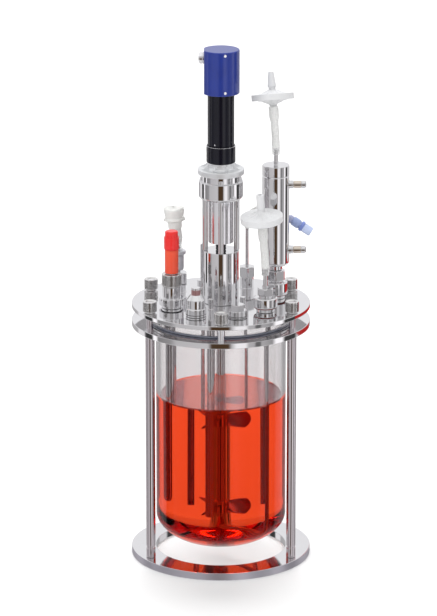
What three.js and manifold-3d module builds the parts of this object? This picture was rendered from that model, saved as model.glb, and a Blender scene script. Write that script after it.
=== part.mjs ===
// Bench bioreactor: a glass vessel hung in a three-post stand and closed by a ported head plate,
// which carries the agitator drive, the pH sensor, the gas inlet, the exhaust condenser, the
// sample line and the vent.
// Millimetres, +Z up, origin on the bench under the vessel's axis, front towards -Y.
// Round sizes are radii. A level is a height above the bench, or above the plate's top face
// for everything that stands on the head plate.
import * as THREE from "three";
import { mergeVertices } from "three/addons/utils/BufferGeometryUtils.js";
import Module from "manifold-3d";

const wasm = await Module();
wasm.setup();

// Clearances.
const seat = 0.3; // between two pieces that touch
const running = 0.5; // round anything that turns

// Stand and head. A rim stands out past the bolt circle; a gap goes round the glass.
const base = { rim: 10.7, gap: 0.5, thickness: 9 };
const boltMargin = 10.8; // from the glass flange's edge to the bolt circle
const post = { radius: 5.65, neck: 5, neckHeight: 3, neckLevel: 12 };
const stud = { radius: 4, above: 1.2 };
const clamp = { rim: 9.5, gap: 2, thickness: 6.9 };
const plate = { rim: 9.5, thickness: 5 };
const headNut = { radius: 8.2, height: 12.5, neck: 6.4, neckHeight: 1.6, recess: 5.4 };

// Vessel and what fills it.
const vessel = {
  outer: 78.5,
  wall: 5,
  depth: 295.9,
  dish: 38,
  flangeWidth: 8.5,
  flangeThickness: 10.2,
  fillet: 1.6,
};
const floorClearance = 4.5; // from the base ring's top to the glass
const gasket = { thickness: 2 };
const headSeal = { inset: 1, width: 7, thickness: 2.5 };
const fillDepth = 184.5; // liquid above the vessel's inner floor

// Agitator.
const shaft = { radius: 4.5, tipLevel: 32 };
const impeller = {
  reach: 29,
  hub: 8,
  hubHeight: 16,
  blades: 3,
  blade: 24, // across the tip
  root: 0.42, // share of that at the root
  rake: 0.22, // share of the length by which the tip's corners fall back
  thickness: 1.8,
  pitch: 40,
  twist: 12,
};
const impellerLevels = { upper: 154.5, lower: 44.5 }; // above the vessel's inner floor

// Drive column, from the plate up. Here a rim stands out past the tie rods' circle.
const housing = { rim: 2.5, height: 64.2, bore: 11, web: 7, spigot: 14, spigotDepth: 8 };
const bearing = { height: 9 };
const coupling = { wall: 1.4, groove: 1, crown: 3, height: 9.3, ribs: 3 };
const sleeve = { radius: 15, height: 53.7, spindle: 4, spindleHeight: 55 };
const tieRod = { radius: 3.35, gap: 0.55 }; // gap to the sleeve that turns inside the rods
const collar = { rim: 7.6, height: 22, edge: 3, neck: 23.6, neckHeight: 8 };
const motorFlange = {
  radius: 27.8,
  thickness: 7,
  hub: 16.5,
  hubHeight: 7.6,
  ribs: 8,
  rib: 2.4,
  ribMargin: 2.5,
};
const gearbox = { radius: 17.35, height: 20.6 };
const barrel = { radius: 15.9, height: 62.7 };
const cap = { radius: 22.2, height: 53, flatAt: 20.2, bevel: 1.6 };
const connector = { radius: 7, length: 5, level: 42.5, pin: 3.2, pinLength: 1.5 };

// Ports on the head plate. An inset is from the vessel's inner wall to the ports' centres.
const innerCircle = 36.5;
const sensorPort = { inset: 9.9, angle: 202.2, spigot: 8.6 };
const port = { inset: 5.7, spigot: 5, spigotDepth: 2 };
const portAngles = {
  septum: 244,
  plug: 287,
  sparger: 321.3,
  condenser: 14.1,
  sample: 62.1,
  dip: 109.4,
  vent: 140.1,
};
const sensor = {
  shaft: 6,
  tip: 54.5, // above the vessel's inner floor
  body: 8.2,
  bodyHeight: 29,
  standOff: 1, // between the nut and the body
  cap: 9,
  capHeight: 17.6,
  capTop: 7.5,
  capTopHeight: 4.8,
};
const adapter = {
  groove: 12.6,
  grooveHeight: 3.4,
  flange: 15,
  flangeHeight: 9,
  neck: 10.8,
  neckHeight: 13.4,
};
const sensorNut = { radius: 11.9, height: 15.3, sides: 18 };
const septum = {
  flange: 12.2,
  flangeHeight: 10,
  groove: 2.2,
  grooveHeight: 2.8,
  hub: 9,
  hubHeight: 12.5,
};
const septumCap = { knurl: 5.6, knurlHeight: 5.4, stem: 4.2, stemHeight: 4 };
const plug = { radius: 11.2, height: 6.4, groove: 1.8, grooveHeight: 2, hex: 8.6, hexHeight: 7 };
const hub = { groove: 12.8, grooveHeight: 5.4, radius: 14.5, neck: 7.5, neckHeight: 2 };
const sparger = {
  hubHeight: 12.4,
  pipe: 2.65,
  bore: 1.6,
  boreDepth: 12,
  rise: 51,
  bend: 15,
  floorGap: 2.5, // from the bend to the dished floor
};
const glandNuts = {
  sparger: { radius: 10.5, height: 9.3 },
  sample: { radius: 10, height: 13 },
  vent: { radius: 12, height: 16 },
};
const silicone = { wall: 1.2, slack: 0.8, overlap: 6 };
const filter = {
  radius: 25.3,
  rim: 3.8,
  domeRadius: 19,
  dome: 8.6,
  shoulder: 5.4,
  nozzle: 4.8,
  up: 30,
  down: 11,
  mouth: 8,
  barb: 2.6,
  barbLength: 6,
};
const inletFilter = { centre: [-4.5, 0.4, 114.5], axis: [-0.075, -0.085, 1] };
const exhaustFilter = { centre: [-4.2, 0, 248.5], axis: [-0.078, 0.24, 1] };
const condenser = {
  radius: 16.2,
  height: 124,
  chamfer: 3,
  seamDrop: 13,
  seam: 0.8,
  stub: 8,
  stubLength: 5.9,
  pipeRise: 19,
};
const condenserHub = { height: 15, nut: 12, nutHeight: 12.6 };
const nozzle = {
  radius: 4.4,
  reach: 21,
  collar: 4.9,
  collarLength: 7,
  groove: 0.8,
  grooveWidth: 1.2,
  levels: [18.5, 99.5],
};
const sample = { boss: 8, bossHeight: 14, pipe: 2, bore: 1.2, top: 74.5, floorGap: 7 };
const vent = {
  boss: 9.5,
  bossHeight: 8.2,
  pipe: 2.7,
  bore: 1.5,
  body: 7.2,
  bodyLevel: 27.5,
  ring: 9.5,
  ringLevel: 47.5,
  ringHeight: 4,
  top: 57,
};
const ventCover = {
  centre: [-3.3, 0, 80],
  axis: [-0.06, 0, 1],
  barbLength: 5,
  foot: 8.8,
  footHeight: 9,
  ring: 12.2,
  ringHeight: 3,
  waist: 9.6,
  waistHeight: 3.5,
  cap: 12.5,
  capHeight: 11,
};
const dip = { boss: 6.5, bossHeight: 9, pipe: 2.5, bore: 1.7, top: 53.5, floorGap: 5 };
const hose = { radius: 2.6 }; // of the sample line
const lineFitting = {
  tail: 4.6,
  tailLength: 6,
  lock: 5.8,
  lockLength: 9,
  waist: 5,
  waistLength: 3,
  rim: 6.4,
  rimLength: 3.5,
  sleeve: 5.6,
  sleeveLength: 11.5,
};
const thermowell = { angle: 251, radius: 4.8, stub: 3.2, stubHeight: 13, tip: 40 };
const blindStub = { angle: 316, radius: 3.2, height: 13 };

// Facets round a ring, a body, a fitting and a pin.
const sides = { ring: 36, dish: 26, body: 18, fitting: 12, pin: 8 };
const drillPast = 1; // how far a drill reaches past the faces it opens

// Levels that follow from the sizes above.
const vesselBottom = base.thickness + floorClearance;
const innerFloor = vesselBottom + vessel.wall;
const flangeTop = vesselBottom + vessel.depth;
const flangeBottom = flangeTop - vessel.flangeThickness;
const clampTop = flangeBottom - gasket.thickness - 2 * seat;
const clampBottom = clampTop - clamp.thickness;
const plateBottom = flangeTop + headSeal.thickness + 2 * seat;
const plateTop = plateBottom + plate.thickness;
const nutTop = plateTop + seat + headNut.neckHeight + headNut.height;

// Radii that follow.
const innerRadius = vessel.outer - vessel.wall;
const innerDish = vessel.dish - vessel.wall;
const flangeRadius = vessel.outer + vessel.flangeWidth;
const boltCircle = flangeRadius + boltMargin;
const portCircle = innerRadius - port.inset;
const rodCircle = sleeve.radius + tieRod.gap + tieRod.radius;
const spindleBore = sleeve.spindle + running;
const siliconeBore = Math.max(sparger.pipe, vent.pipe, filter.barb) + silicone.slack;

// The dished floor rises towards the wall; what ends near it keeps its own gap to it.
function dishRise(radius) {
  return innerDish * (1 - Math.sqrt(1 - (radius / innerRadius) ** 2));
}

function pipeTip({ pipe, floorGap }) {
  return innerFloor + dishRise(portCircle + pipe) + floorGap;
}

// The sparger's bend comes nearest the floor at its middle, on the pipe's outer side.
const bendMiddle = sparger.bend / 4 - sparger.pipe * Math.SQRT1_2;
const bendRise = dishRise(portCircle - bendMiddle);
const spargerLevel = innerFloor + bendRise - bendMiddle + sparger.floorGap - plateTop;

// The same, above the head plate.
const housingTop = seat + housing.height;
const couplingTop = housingTop + seat + coupling.height;
const sleeveBottom = couplingTop + seat;
const sleeveTop = sleeveBottom + sleeve.height;
const collarBottom = sleeveTop + seat;
const collarTop = collarBottom + collar.height + collar.neckHeight;
const flangeLevel = collarTop + seat;
const gearboxLevel = flangeLevel + motorFlange.thickness + motorFlange.hubHeight + seat;
const barrelLevel = gearboxLevel + gearbox.height + seat;
const capLevel = barrelLevel + barrel.height + seat;
const adapterTop = seat + adapter.grooveHeight + adapter.flangeHeight + adapter.neckHeight;
const sensorNutLevel = adapterTop + seat;
const sensorLevel = sensorNutLevel + sensorNut.height + sensor.standOff;
const hubNeckTop = seat + hub.grooveHeight + hub.neckHeight;
const condenserLevel =
  hubNeckTop + condenserHub.height + condenserHub.nutHeight + seat + condenser.stubLength;

// What screws into a port ends in a spigot through the plate; the rest stands on the plate.
const spigotLevel = -plate.thickness - port.spigotDepth;
const spigotLength = seat - spigotLevel;

// Bolts: each second one is a post of the stand, the others are short studs.
const boltAngles = {
  front: 270,
  front_right: 330,
  rear_right: 30,
  rear: 90,
  rear_left: 150,
  front_left: 210,
};
const postAngles = {
  left: boltAngles.front_left,
  right: boltAngles.front_right,
  rear: boltAngles.rear,
};
const studAngles = {
  front: boltAngles.front,
  rear_left: boltAngles.rear_left,
  rear_right: boltAngles.rear_right,
};

// Places in plan, from the vessel's axis.
const places = {
  sensor: onCircle(innerRadius - sensorPort.inset, sensorPort.angle),
  thermowell: onCircle(innerCircle, thermowell.angle),
  blindStub: onCircle(innerCircle, blindStub.angle),
};
for (const [name, angle] of Object.entries(portAngles)) {
  places[name] = onCircle(portCircle, angle);
}

// Finishes.
const polishedSteel = { color: 0xc9cbce, roughness: 0.08, metalness: 1 };
const machinedSteel = { color: 0xb4b6b9, roughness: 0.25, metalness: 1 };
const castAluminium = { color: 0xb9bec2, roughness: 0.45, metalness: 0.9 };
const blackMetal = { color: 0x101113, roughness: 0.22, metalness: 0.4 };
const blackRubber = { color: 0x16161a, roughness: 0.6, metalness: 0 };
const blueCoat = { color: 0x1c3fb4, roughness: 0.3, metalness: 0 };
const orangePlastic = { color: 0xf0502c, roughness: 0.35, metalness: 0 };
const redPlastic = { color: 0xe0201c, roughness: 0.35, metalness: 0 };
const clearGlass = {
  color: 0xf2f6f6,
  roughness: 0.03,
  metalness: 0,
  transparent: true,
  opacity: 0.3,
};
const medium = { color: 0xe5441f, roughness: 0.05, metalness: 0, transparent: true, opacity: 0.8 };
const clearSilicone = { color: 0xe8e8ea, roughness: 0.4, metalness: 0 };
const milkyPlastic = { color: 0xf1f1f2, roughness: 0.35, metalness: 0 };
const bluePlastic = { color: 0x5a74d8, roughness: 0.3, metalness: 0 };

const bioreactor = new THREE.Group();
const head = new THREE.Group();
head.position.z = plateTop;
bioreactor.add(head);

function radians(degrees) {
  return THREE.MathUtils.degToRad(degrees);
}

function onCircle(radius, degrees, z = 0) {
  const turn = radians(degrees);
  return new THREE.Vector3(radius * Math.cos(turn), radius * Math.sin(turn), z);
}

function addPiece(name, geometry, finish, parent = head, position = new THREE.Vector3()) {
  const piece = new THREE.Mesh(geometry, new THREE.MeshStandardMaterial(finish));
  piece.name = name;
  piece.position.copy(position);
  parent.add(piece);
  return piece;
}

// A profile of [radius, level] corners, up the outside and down the inside, turned about +Z.
function turned(profile, count) {
  const points = profile.map(([radius, level]) => new THREE.Vector2(radius, level));
  return new THREE.LatheGeometry(points, count).rotateX(Math.PI / 2);
}

// The same for a piece with a hole through it: the profile closes on itself.
function turnedRing(profile, count) {
  return turned([...profile, profile[0]], count);
}

// Steps of [radius, length] stacked up from a level; a top edge that stands out is chamfered.
function steppedProfile(level, steps, chamfer) {
  const corners = [];
  let low = level;
  steps.forEach(([radius, length], i) => {
    const next = i + 1 < steps.length ? steps[i + 1][0] : 0;
    const high = low + length;
    corners.push([radius, low]);
    if (chamfer && radius - chamfer > next) {
      corners.push([radius, high - chamfer], [radius - chamfer, high]);
    } else {
      corners.push([radius, high]);
    }
    low = high;
  });
  return corners;
}

function steppedRod(level, steps, count = sides.fitting, chamfer = 0.5) {
  const corners = steppedProfile(level, steps, chamfer);
  return turned([[0, level], ...corners, [0, corners.at(-1)[1]]], count);
}

function steppedTube(level, bore, steps, count = sides.fitting, chamfer = 0.5) {
  const corners = steppedProfile(level, steps, chamfer);
  return turnedRing([...corners, [bore, corners.at(-1)[1]], [bore, level]], count);
}

function solidOf(geometry) {
  const bare = geometry.clone();
  bare.deleteAttribute("normal");
  bare.deleteAttribute("uv");
  const merged = mergeVertices(bare, 1e-4);
  return new wasm.Manifold(
    new wasm.Mesh({
      numProp: 3,
      vertProperties: merged.attributes.position.array,
      triVerts: new Uint32Array(merged.index.array),
    }),
  );
}

function geometryOf(solid) {
  const { vertProperties, triVerts } = solid.getMesh();
  const geometry = new THREE.BufferGeometry()
    .setAttribute("position", new THREE.BufferAttribute(vertProperties, 3))
    .setIndex(new THREE.BufferAttribute(triVerts, 1));
  geometry.computeVertexNormals();
  return geometry;
}

function joined(geometries) {
  return geometryOf(geometries.map(solidOf).reduce((whole, solid) => whole.add(solid)));
}

function cut(geometry, tools) {
  const blank = solidOf(geometry);
  return geometryOf(tools.map(solidOf).reduce((whole, tool) => whole.subtract(tool), blank));
}

// A straight pin or a drill between two levels, standing at a place in plan.
function pinAt(place, radius, low, high, count = sides.pin) {
  return steppedRod(low, [[radius, high - low]], count, 0).translate(place.x, place.y, 0);
}

function pinOnAxis(radius, low, high, count = sides.fitting) {
  return pinAt(new THREE.Vector3(), radius, low, high, count);
}

// A hexagonal prism; its corners lie on the circle of the given radius.
function hexPrism(cornerRadius, level, height) {
  return steppedRod(level, [[cornerRadius, height]], 6, 0);
}

// A round section, hollow where a bore is given, carried along a curve.
function swept(curve, radius, bore, steps, count = sides.pin) {
  const section = new THREE.Shape().absarc(0, 0, radius, 0, 2 * Math.PI);
  if (bore) section.holes.push(new THREE.Path().absarc(0, 0, bore, 0, 2 * Math.PI, true));
  return new THREE.ExtrudeGeometry(section, {
    extrudePath: curve,
    steps,
    curveSegments: count / 2,
    bevelEnabled: false,
  });
}

// Turns a piece so that its own +Z lies along an axis.
function leaned(geometry, axis) {
  const turn = new THREE.Quaternion().setFromUnitVectors(
    new THREE.Vector3(0, 0, 1),
    new THREE.Vector3(...axis).normalize(),
  );
  return geometry.applyQuaternion(turn);
}

// Stand -----------------------------------------------------------------------------------

function baseRing() {
  const inner = vessel.outer + base.gap;
  const outer = boltCircle + base.rim;
  const edge = 0.8;
  return turnedRing(
    [
      [inner, 0],
      [outer, 0],
      [outer, base.thickness - edge],
      [outer - edge, base.thickness],
      [inner + edge, base.thickness],
      [inner, base.thickness - edge],
    ],
    sides.ring,
  );
}

// A post stands on the base ring; its turned top is the stud that takes a head nut.
function standPost() {
  const foot = base.thickness + seat;
  const neckFoot = base.thickness + post.neckLevel;
  const shoulder = clampBottom - seat;
  const steps = [
    [post.radius, neckFoot - foot],
    [post.neck, post.neckHeight],
    [post.radius, shoulder - neckFoot - post.neckHeight],
    [stud.radius, nutTop - stud.above - shoulder],
  ];
  return steppedRod(foot, steps, sides.pin);
}

function headStud() {
  return steppedRod(clampBottom, [[stud.radius, nutTop - stud.above - clampBottom]], sides.pin);
}

function studHoles(low, high) {
  return Object.values(boltAngles).map((angle) =>
    pinAt(onCircle(boltCircle, angle), stud.radius + seat, low - drillPast, high + drillPast),
  );
}

function clampRing() {
  const steps = [[boltCircle + clamp.rim, clamp.thickness]];
  const ring = steppedTube(clampBottom, vessel.outer + clamp.gap, steps, sides.ring, 0.6);
  return cut(ring, studHoles(clampBottom, clampTop));
}

// The nut's neck stands on the plate; a shallow recess in its top shows the stud's end.
function knurledHeadNut() {
  const top = headNut.neckHeight + headNut.height;
  const bore = stud.radius + seat;
  const edge = 0.8;
  return turnedRing(
    [
      [bore, 0],
      [headNut.neck, 0],
      [headNut.neck, headNut.neckHeight],
      [headNut.radius, headNut.neckHeight],
      [headNut.radius, top - edge],
      [headNut.radius - edge, top],
      [headNut.recess, top],
      [bore, top - stud.above],
    ],
    sides.fitting,
  );
}

// Vessel ----------------------------------------------------------------------------------

// Half of a dished end from the axis out to the wall: an ellipse of the given height.
function dishedEnd(radius, bottom, height) {
  const steps = 5;
  return Array.from({ length: steps + 1 }, (_, i) => {
    const turn = (i / steps) * (Math.PI / 2);
    return [radius * Math.sin(turn), bottom + height * (1 - Math.cos(turn))];
  });
}

function glassVessel() {
  const edge = 1.5;
  return turned(
    [
      ...dishedEnd(vessel.outer, vesselBottom, vessel.dish),
      [vessel.outer, flangeBottom - vessel.fillet],
      [vessel.outer + vessel.fillet, flangeBottom],
      [flangeRadius, flangeBottom],
      [flangeRadius, flangeTop - edge],
      [flangeRadius - edge, flangeTop],
      [innerRadius, flangeTop],
      ...dishedEnd(innerRadius, innerFloor, innerDish).reverse(),
    ],
    sides.dish,
  );
}

function flatRing(outer, inner, level, thickness) {
  return steppedTube(level, inner, [[outer, thickness]], sides.dish, 0);
}

// The sparger drops to a level run that ends under the agitator.
function spargerRun() {
  const inward = places.sparger.clone().normalize().negate();
  const corner = new THREE.Vector3(0, 0, spargerLevel);
  const runStart = inward.clone().multiplyScalar(sparger.bend).add(corner);
  const runEnd = inward.clone().multiplyScalar(portCircle).add(corner);
  const bendStart = new THREE.Vector3(0, 0, spargerLevel + sparger.bend);
  const path = new THREE.CurvePath();
  path.add(new THREE.QuadraticBezierCurve3(bendStart, corner, runStart));
  path.add(new THREE.LineCurve3(runStart, runEnd));
  return path;
}

// The drop and the run, which share a sliver at the bend, so that they join into one body.
function spargerSolid(radius, top) {
  const share = 0.01;
  const elbow = spargerLevel + sparger.bend - share;
  const drop = steppedRod(elbow, [[radius, top - elbow]], sides.pin, 0);
  return joined([drop, swept(spargerRun(), radius, 0, 12)]);
}

// Liquid: it fills the glass, and leaves the space of all that dips into it.
function liquid() {
  const radius = innerRadius - seat;
  const surface = innerFloor + fillDepth;
  const room = 2 * seat;
  const sweep = impeller.reach + 2;
  const sweepFloor = innerFloor + shaft.tipLevel - shaft.radius;
  const body = turned(
    [
      ...dishedEnd(radius, innerFloor + seat, innerDish),
      [radius, surface],
      [sweep, surface],
      [sweep, sweepFloor],
      [0, sweepFloor],
    ],
    sides.dish,
  );
  const wells = [
    ["sensor", sensor.shaft, innerFloor + sensor.tip],
    ["sample", sample.pipe, pipeTip(sample)],
    ["dip", dip.pipe, pipeTip(dip)],
    ["thermowell", thermowell.radius, innerFloor + thermowell.tip],
  ].map(([name, size, tip]) => pinAt(places[name], size + room, tip - room, surface + drillPast));
  const gasWell = spargerSolid(sparger.pipe + room, 0);
  gasWell.translate(places.sparger.x, places.sparger.y, plateTop);
  return cut(body, [...wells, gasWell]);
}

// Head plate ------------------------------------------------------------------------------

// Port name, radius of its hole in the plate.
const portHoles = {
  sensor: sensorPort.spigot,
  septum: port.spigot,
  plug: port.spigot,
  sparger: port.spigot,
  condenser: port.spigot,
};

// Bosses welded to the plate, each bored for its pipe.
const bosses = {
  sample: [sample.boss, sample.bossHeight, sample.pipe],
  vent: [vent.boss, vent.bossHeight, vent.pipe],
  dip: [dip.boss, dip.bossHeight, dip.pipe],
};

function headPlate() {
  const under = -plate.thickness;
  const root = under / 2; // where what is welded on begins
  const disc = steppedRod(under, [[boltCircle + plate.rim, plate.thickness]], sides.ring, 0.6);
  const wellTip = innerFloor + thermowell.tip - plateTop;
  const welded = [
    pinAt(places.thermowell, thermowell.radius, wellTip, root),
    pinAt(places.thermowell, thermowell.stub, under, thermowell.stubHeight),
    pinAt(places.blindStub, blindStub.radius, root, blindStub.height),
  ];
  const drills = [pinOnAxis(housing.spigot + seat, under - drillPast, drillPast, sides.body)];
  for (const [name, [radius, height, pipe]] of Object.entries(bosses)) {
    welded.push(pinAt(places[name], radius, root, height, sides.fitting));
    drills.push(pinAt(places[name], pipe + seat, under - drillPast, height + drillPast));
  }
  for (const [name, radius] of Object.entries(portHoles)) {
    const hole = radius + seat;
    drills.push(pinAt(places[name], hole, under - drillPast, drillPast, sides.fitting));
  }
  return cut(joined([disc, ...welded]), [...drills, ...studHoles(under, 0)]);
}

// Agitator and drive ----------------------------------------------------------------------

// One blade: a thin plate that widens to a rounded tip and twists from root to tip.
function impellerBlade() {
  const root = impeller.hub / 2;
  const length = impeller.reach - root;
  const blade = new THREE.BoxGeometry(length, 1, impeller.thickness, 4, 4, 1);
  blade.translate(length / 2, 0, 0);
  const position = blade.getAttribute("position");
  const point = new THREE.Vector3();
  const along = new THREE.Vector3(1, 0, 0);
  for (let i = 0; i < position.count; i++) {
    point.fromBufferAttribute(position, i);
    const share = point.x / length;
    const across = point.y * 2;
    const width = impeller.root + (1 - impeller.root) * Math.sqrt(share);
    point.y *= impeller.blade * width;
    point.x -= impeller.rake * length * share * across * across;
    point.applyAxisAngle(along, radians(impeller.pitch + impeller.twist * (1 - share)));
    position.setXYZ(i, point.x + root, point.y, point.z);
  }
  return blade;
}

function impellerSolid() {
  const height = impeller.hubHeight;
  const boss = steppedRod(-height / 2, [[impeller.hub, height]], sides.fitting, 1);
  const blades = Array.from({ length: impeller.blades }, (_, i) =>
    impellerBlade().rotateZ((i * 2 * Math.PI) / impeller.blades),
  );
  return cut(joined([boss, ...blades]), [pinOnAxis(shaft.radius + seat, -height, height)]);
}

// The shaft ends inside the coupling, under its crown.
function driveShaft() {
  const tip = innerFloor + shaft.tipLevel - plateTop;
  return steppedRod(tip, [[shaft.radius, couplingTop - coupling.crown - tip]]);
}

// A ribbed cup that slips over the shaft's end.
function ribbedCoupling() {
  const bottom = housingTop + seat;
  const bore = shaft.radius + seat;
  const socket = couplingTop - coupling.crown + seat;
  const outer = bore + coupling.wall;
  const groove = outer - coupling.groove;
  const pitch = coupling.height / coupling.ribs;
  const ribs = Array.from({ length: coupling.ribs }, (_, i) => [
    [groove, bottom + i * pitch],
    [outer, bottom + (i + 0.25) * pitch],
    [outer, bottom + (i + 0.75) * pitch],
  ]).flat();
  const inside = [
    [0, socket],
    [bore, socket],
    [bore, bottom],
  ];
  const outside = [[bore, bottom], ...ribs, [groove, couplingTop], [0, couplingTop]];
  return turned([...outside, ...inside], sides.fitting);
}

function bearingHousing() {
  const web = housingTop - housing.web;
  const outer = rodCircle + housing.rim;
  const bore = shaft.radius + running;
  const edge = 0.8;
  return turnedRing(
    [
      [housing.bore, -housing.spigotDepth],
      [housing.spigot, -housing.spigotDepth],
      [housing.spigot, seat],
      [outer, seat],
      [outer, housingTop - edge],
      [outer - edge, housingTop],
      [bore, housingTop],
      [bore, web],
      [housing.bore, web],
    ],
    sides.body,
  );
}

function shaftBearing() {
  const low = housingTop - housing.web - seat - bearing.height;
  return steppedTube(low, shaft.radius + seat, [[housing.bore - seat, bearing.height]]);
}

// The sleeve's spindle runs up through the collar and the cast flange into the gearbox.
function driveSleeve() {
  const steps = [
    [sleeve.radius, sleeve.height],
    [sleeve.spindle, sleeve.spindleHeight],
  ];
  return steppedRod(sleeveBottom, steps, sides.body);
}

function tieRodSolid() {
  const height = collarBottom - housingTop - 2 * seat;
  return steppedRod(0, [[tieRod.radius, height]], sides.fitting, 0);
}

function driveCollar() {
  const outer = rodCircle + collar.rim;
  const shoulder = collarBottom + collar.height;
  const edge = 0.8;
  return turnedRing(
    [
      [spindleBore, collarBottom],
      [outer - collar.edge, collarBottom],
      [outer, collarBottom + collar.edge],
      [outer, shoulder - edge],
      [outer - edge, shoulder],
      [collar.neck, shoulder],
      [collar.neck, collarTop],
      [spindleBore, collarTop],
    ],
    sides.body,
  );
}

// Cast flange with a short hub, braced by ribs all round.
function castFlange() {
  const steps = [
    [motorFlange.radius, motorFlange.thickness],
    [motorFlange.hub, motorFlange.hubHeight],
  ];
  const body = steppedTube(flangeLevel, spindleBore, steps, sides.body, 0.8);
  const inner = motorFlange.hub - 1;
  const outer = motorFlange.radius - motorFlange.ribMargin;
  const toe = 1.2;
  const sunk = -1;
  const profile = new THREE.Shape([
    new THREE.Vector2(inner, sunk),
    new THREE.Vector2(outer, sunk),
    new THREE.Vector2(outer, toe),
    new THREE.Vector2(inner, motorFlange.hubHeight + sunk),
  ]);
  const ribs = Array.from({ length: motorFlange.ribs }, (_, i) =>
    new THREE.ExtrudeGeometry(profile, { depth: motorFlange.rib, bevelEnabled: false })
      .translate(0, 0, -motorFlange.rib / 2)
      .rotateX(Math.PI / 2)
      .rotateZ(((i + 0.5) * 2 * Math.PI) / motorFlange.ribs)
      .translate(0, 0, flangeLevel + motorFlange.thickness),
  );
  return joined([body, ...ribs]);
}

// The spindle ends in a blind socket in the gearbox's underside.
function motorGearbox() {
  const blank = steppedRod(gearboxLevel, [[gearbox.radius, gearbox.height]], 24, 0.8);
  const spindleTop = sleeveTop + sleeve.spindleHeight;
  return cut(blank, [pinOnAxis(spindleBore, gearboxLevel - drillPast, spindleTop + running)]);
}

function motorBarrel() {
  return steppedRod(barrelLevel, [[barrel.radius, barrel.height]], 24, 0);
}

// A drum with one flat side; the connector sits near the top of the flat.
function motorCap() {
  const half = Math.acos(cap.flatAt / cap.radius);
  const inset = cap.radius - cap.bevel;
  const outline = new THREE.Shape().absarc(0, 0, inset, Math.PI + half, 3 * Math.PI - half);
  outline.closePath();
  return new THREE.ExtrudeGeometry(outline, {
    depth: cap.height - 2 * cap.bevel,
    bevelThickness: cap.bevel,
    bevelSize: cap.bevel,
    bevelSegments: 1,
    curveSegments: 14,
  }).translate(0, 0, capLevel + cap.bevel);
}

function cableConnector() {
  const steps = [
    [connector.radius, connector.length],
    [connector.pin, connector.pinLength],
  ];
  return steppedRod(0, steps).rotateY(-Math.PI / 2);
}

// Sensor port -----------------------------------------------------------------------------

function sensorAdapter() {
  const steps = [
    [sensorPort.spigot, spigotLength],
    [adapter.groove, adapter.grooveHeight],
    [adapter.flange, adapter.flangeHeight],
    [adapter.neck, adapter.neckHeight],
  ];
  return steppedTube(spigotLevel, sensor.shaft + seat, steps);
}

function sensorGlandNut() {
  const steps = [[sensorNut.radius, sensorNut.height]];
  return steppedTube(sensorNutLevel, sensor.shaft + seat, steps, sensorNut.sides, 0.9);
}

// The glass shaft ends in a rounded tip.
function phSensor() {
  const tip = innerFloor + sensor.tip - plateTop;
  const top = sensorLevel + sensor.bodyHeight;
  return turned(
    [
      [0, tip],
      [sensor.shaft * 0.7, tip + sensor.shaft * 0.3],
      [sensor.shaft, tip + sensor.shaft],
      [sensor.shaft, sensorLevel],
      [sensor.body, sensorLevel],
      [sensor.body, top],
      [0, top],
    ],
    sides.fitting,
  );
}

function sensorCap() {
  const steps = [
    [sensor.cap, sensor.capHeight],
    [sensor.capTop, sensor.capTopHeight],
  ];
  return steppedRod(sensorLevel + sensor.bodyHeight + seat, steps, sides.fitting, 0.8);
}

// Small ports -----------------------------------------------------------------------------

function septumPort() {
  const steps = [
    [port.spigot, spigotLength],
    [septum.flange - septum.groove, septum.grooveHeight],
    [septum.flange, septum.flangeHeight],
    [septum.hub, septum.hubHeight],
    [septumCap.knurl, septumCap.knurlHeight],
    [septumCap.stem, septumCap.stemHeight],
  ];
  return steppedRod(spigotLevel, steps);
}

function blankPlug() {
  const steps = [
    [port.spigot, spigotLength],
    [plug.radius - plug.groove, plug.grooveHeight],
    [plug.radius, plug.height],
  ];
  const shoulder = seat + plug.grooveHeight + plug.height;
  const sunk = 1;
  const hexagon = hexPrism(plug.hex, shoulder - sunk, plug.hexHeight + sunk);
  return joined([steppedRod(spigotLevel, steps), hexagon]);
}

function gasAdapter() {
  const steps = [
    [port.spigot, spigotLength],
    [hub.groove, hub.grooveHeight],
    [hub.radius, sparger.hubHeight],
    [hub.neck, hub.neckHeight],
  ];
  return steppedTube(spigotLevel, sparger.pipe + seat, steps);
}

// A hexagon nut with its top corners turned away, bored for its pipe.
function hexNut({ radius, height }, pipe) {
  const blank = solidOf(steppedRod(0, [[radius, height]], sides.body, 1.2));
  const hexagon = solidOf(hexPrism(radius, -drillPast, height + 2 * drillPast));
  const drill = pinAt(new THREE.Vector3(), pipe + seat, -drillPast, height + drillPast);
  return geometryOf(blank.intersect(hexagon).subtract(solidOf(drill)));
}

// The gas pipe is blind at its far end and open at the top.
function spargerPipe() {
  const low = sparger.rise - sparger.boreDepth;
  const bore = pinAt(new THREE.Vector3(), sparger.bore, low, sparger.rise + drillPast);
  return cut(spargerSolid(sparger.pipe, sparger.rise), [bore]);
}

// A silicone tube that starts upright over a pipe's end and bends to meet what stands on it.
function leaningHose(low, centre, axis, down) {
  const tip = new THREE.Vector3(...axis).normalize();
  const start = new THREE.Vector3(0, 0, low);
  const end = new THREE.Vector3(...centre).addScaledVector(tip, -down);
  const pull = (end.z - start.z) / 3;
  const startPull = start.clone().setZ(low + pull);
  const endPull = end.clone().addScaledVector(tip, -pull);
  const curve = new THREE.CubicBezierCurve3(start, startPull, endPull, end);
  return swept(curve, siliconeBore + silicone.wall, siliconeBore, 5);
}

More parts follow.
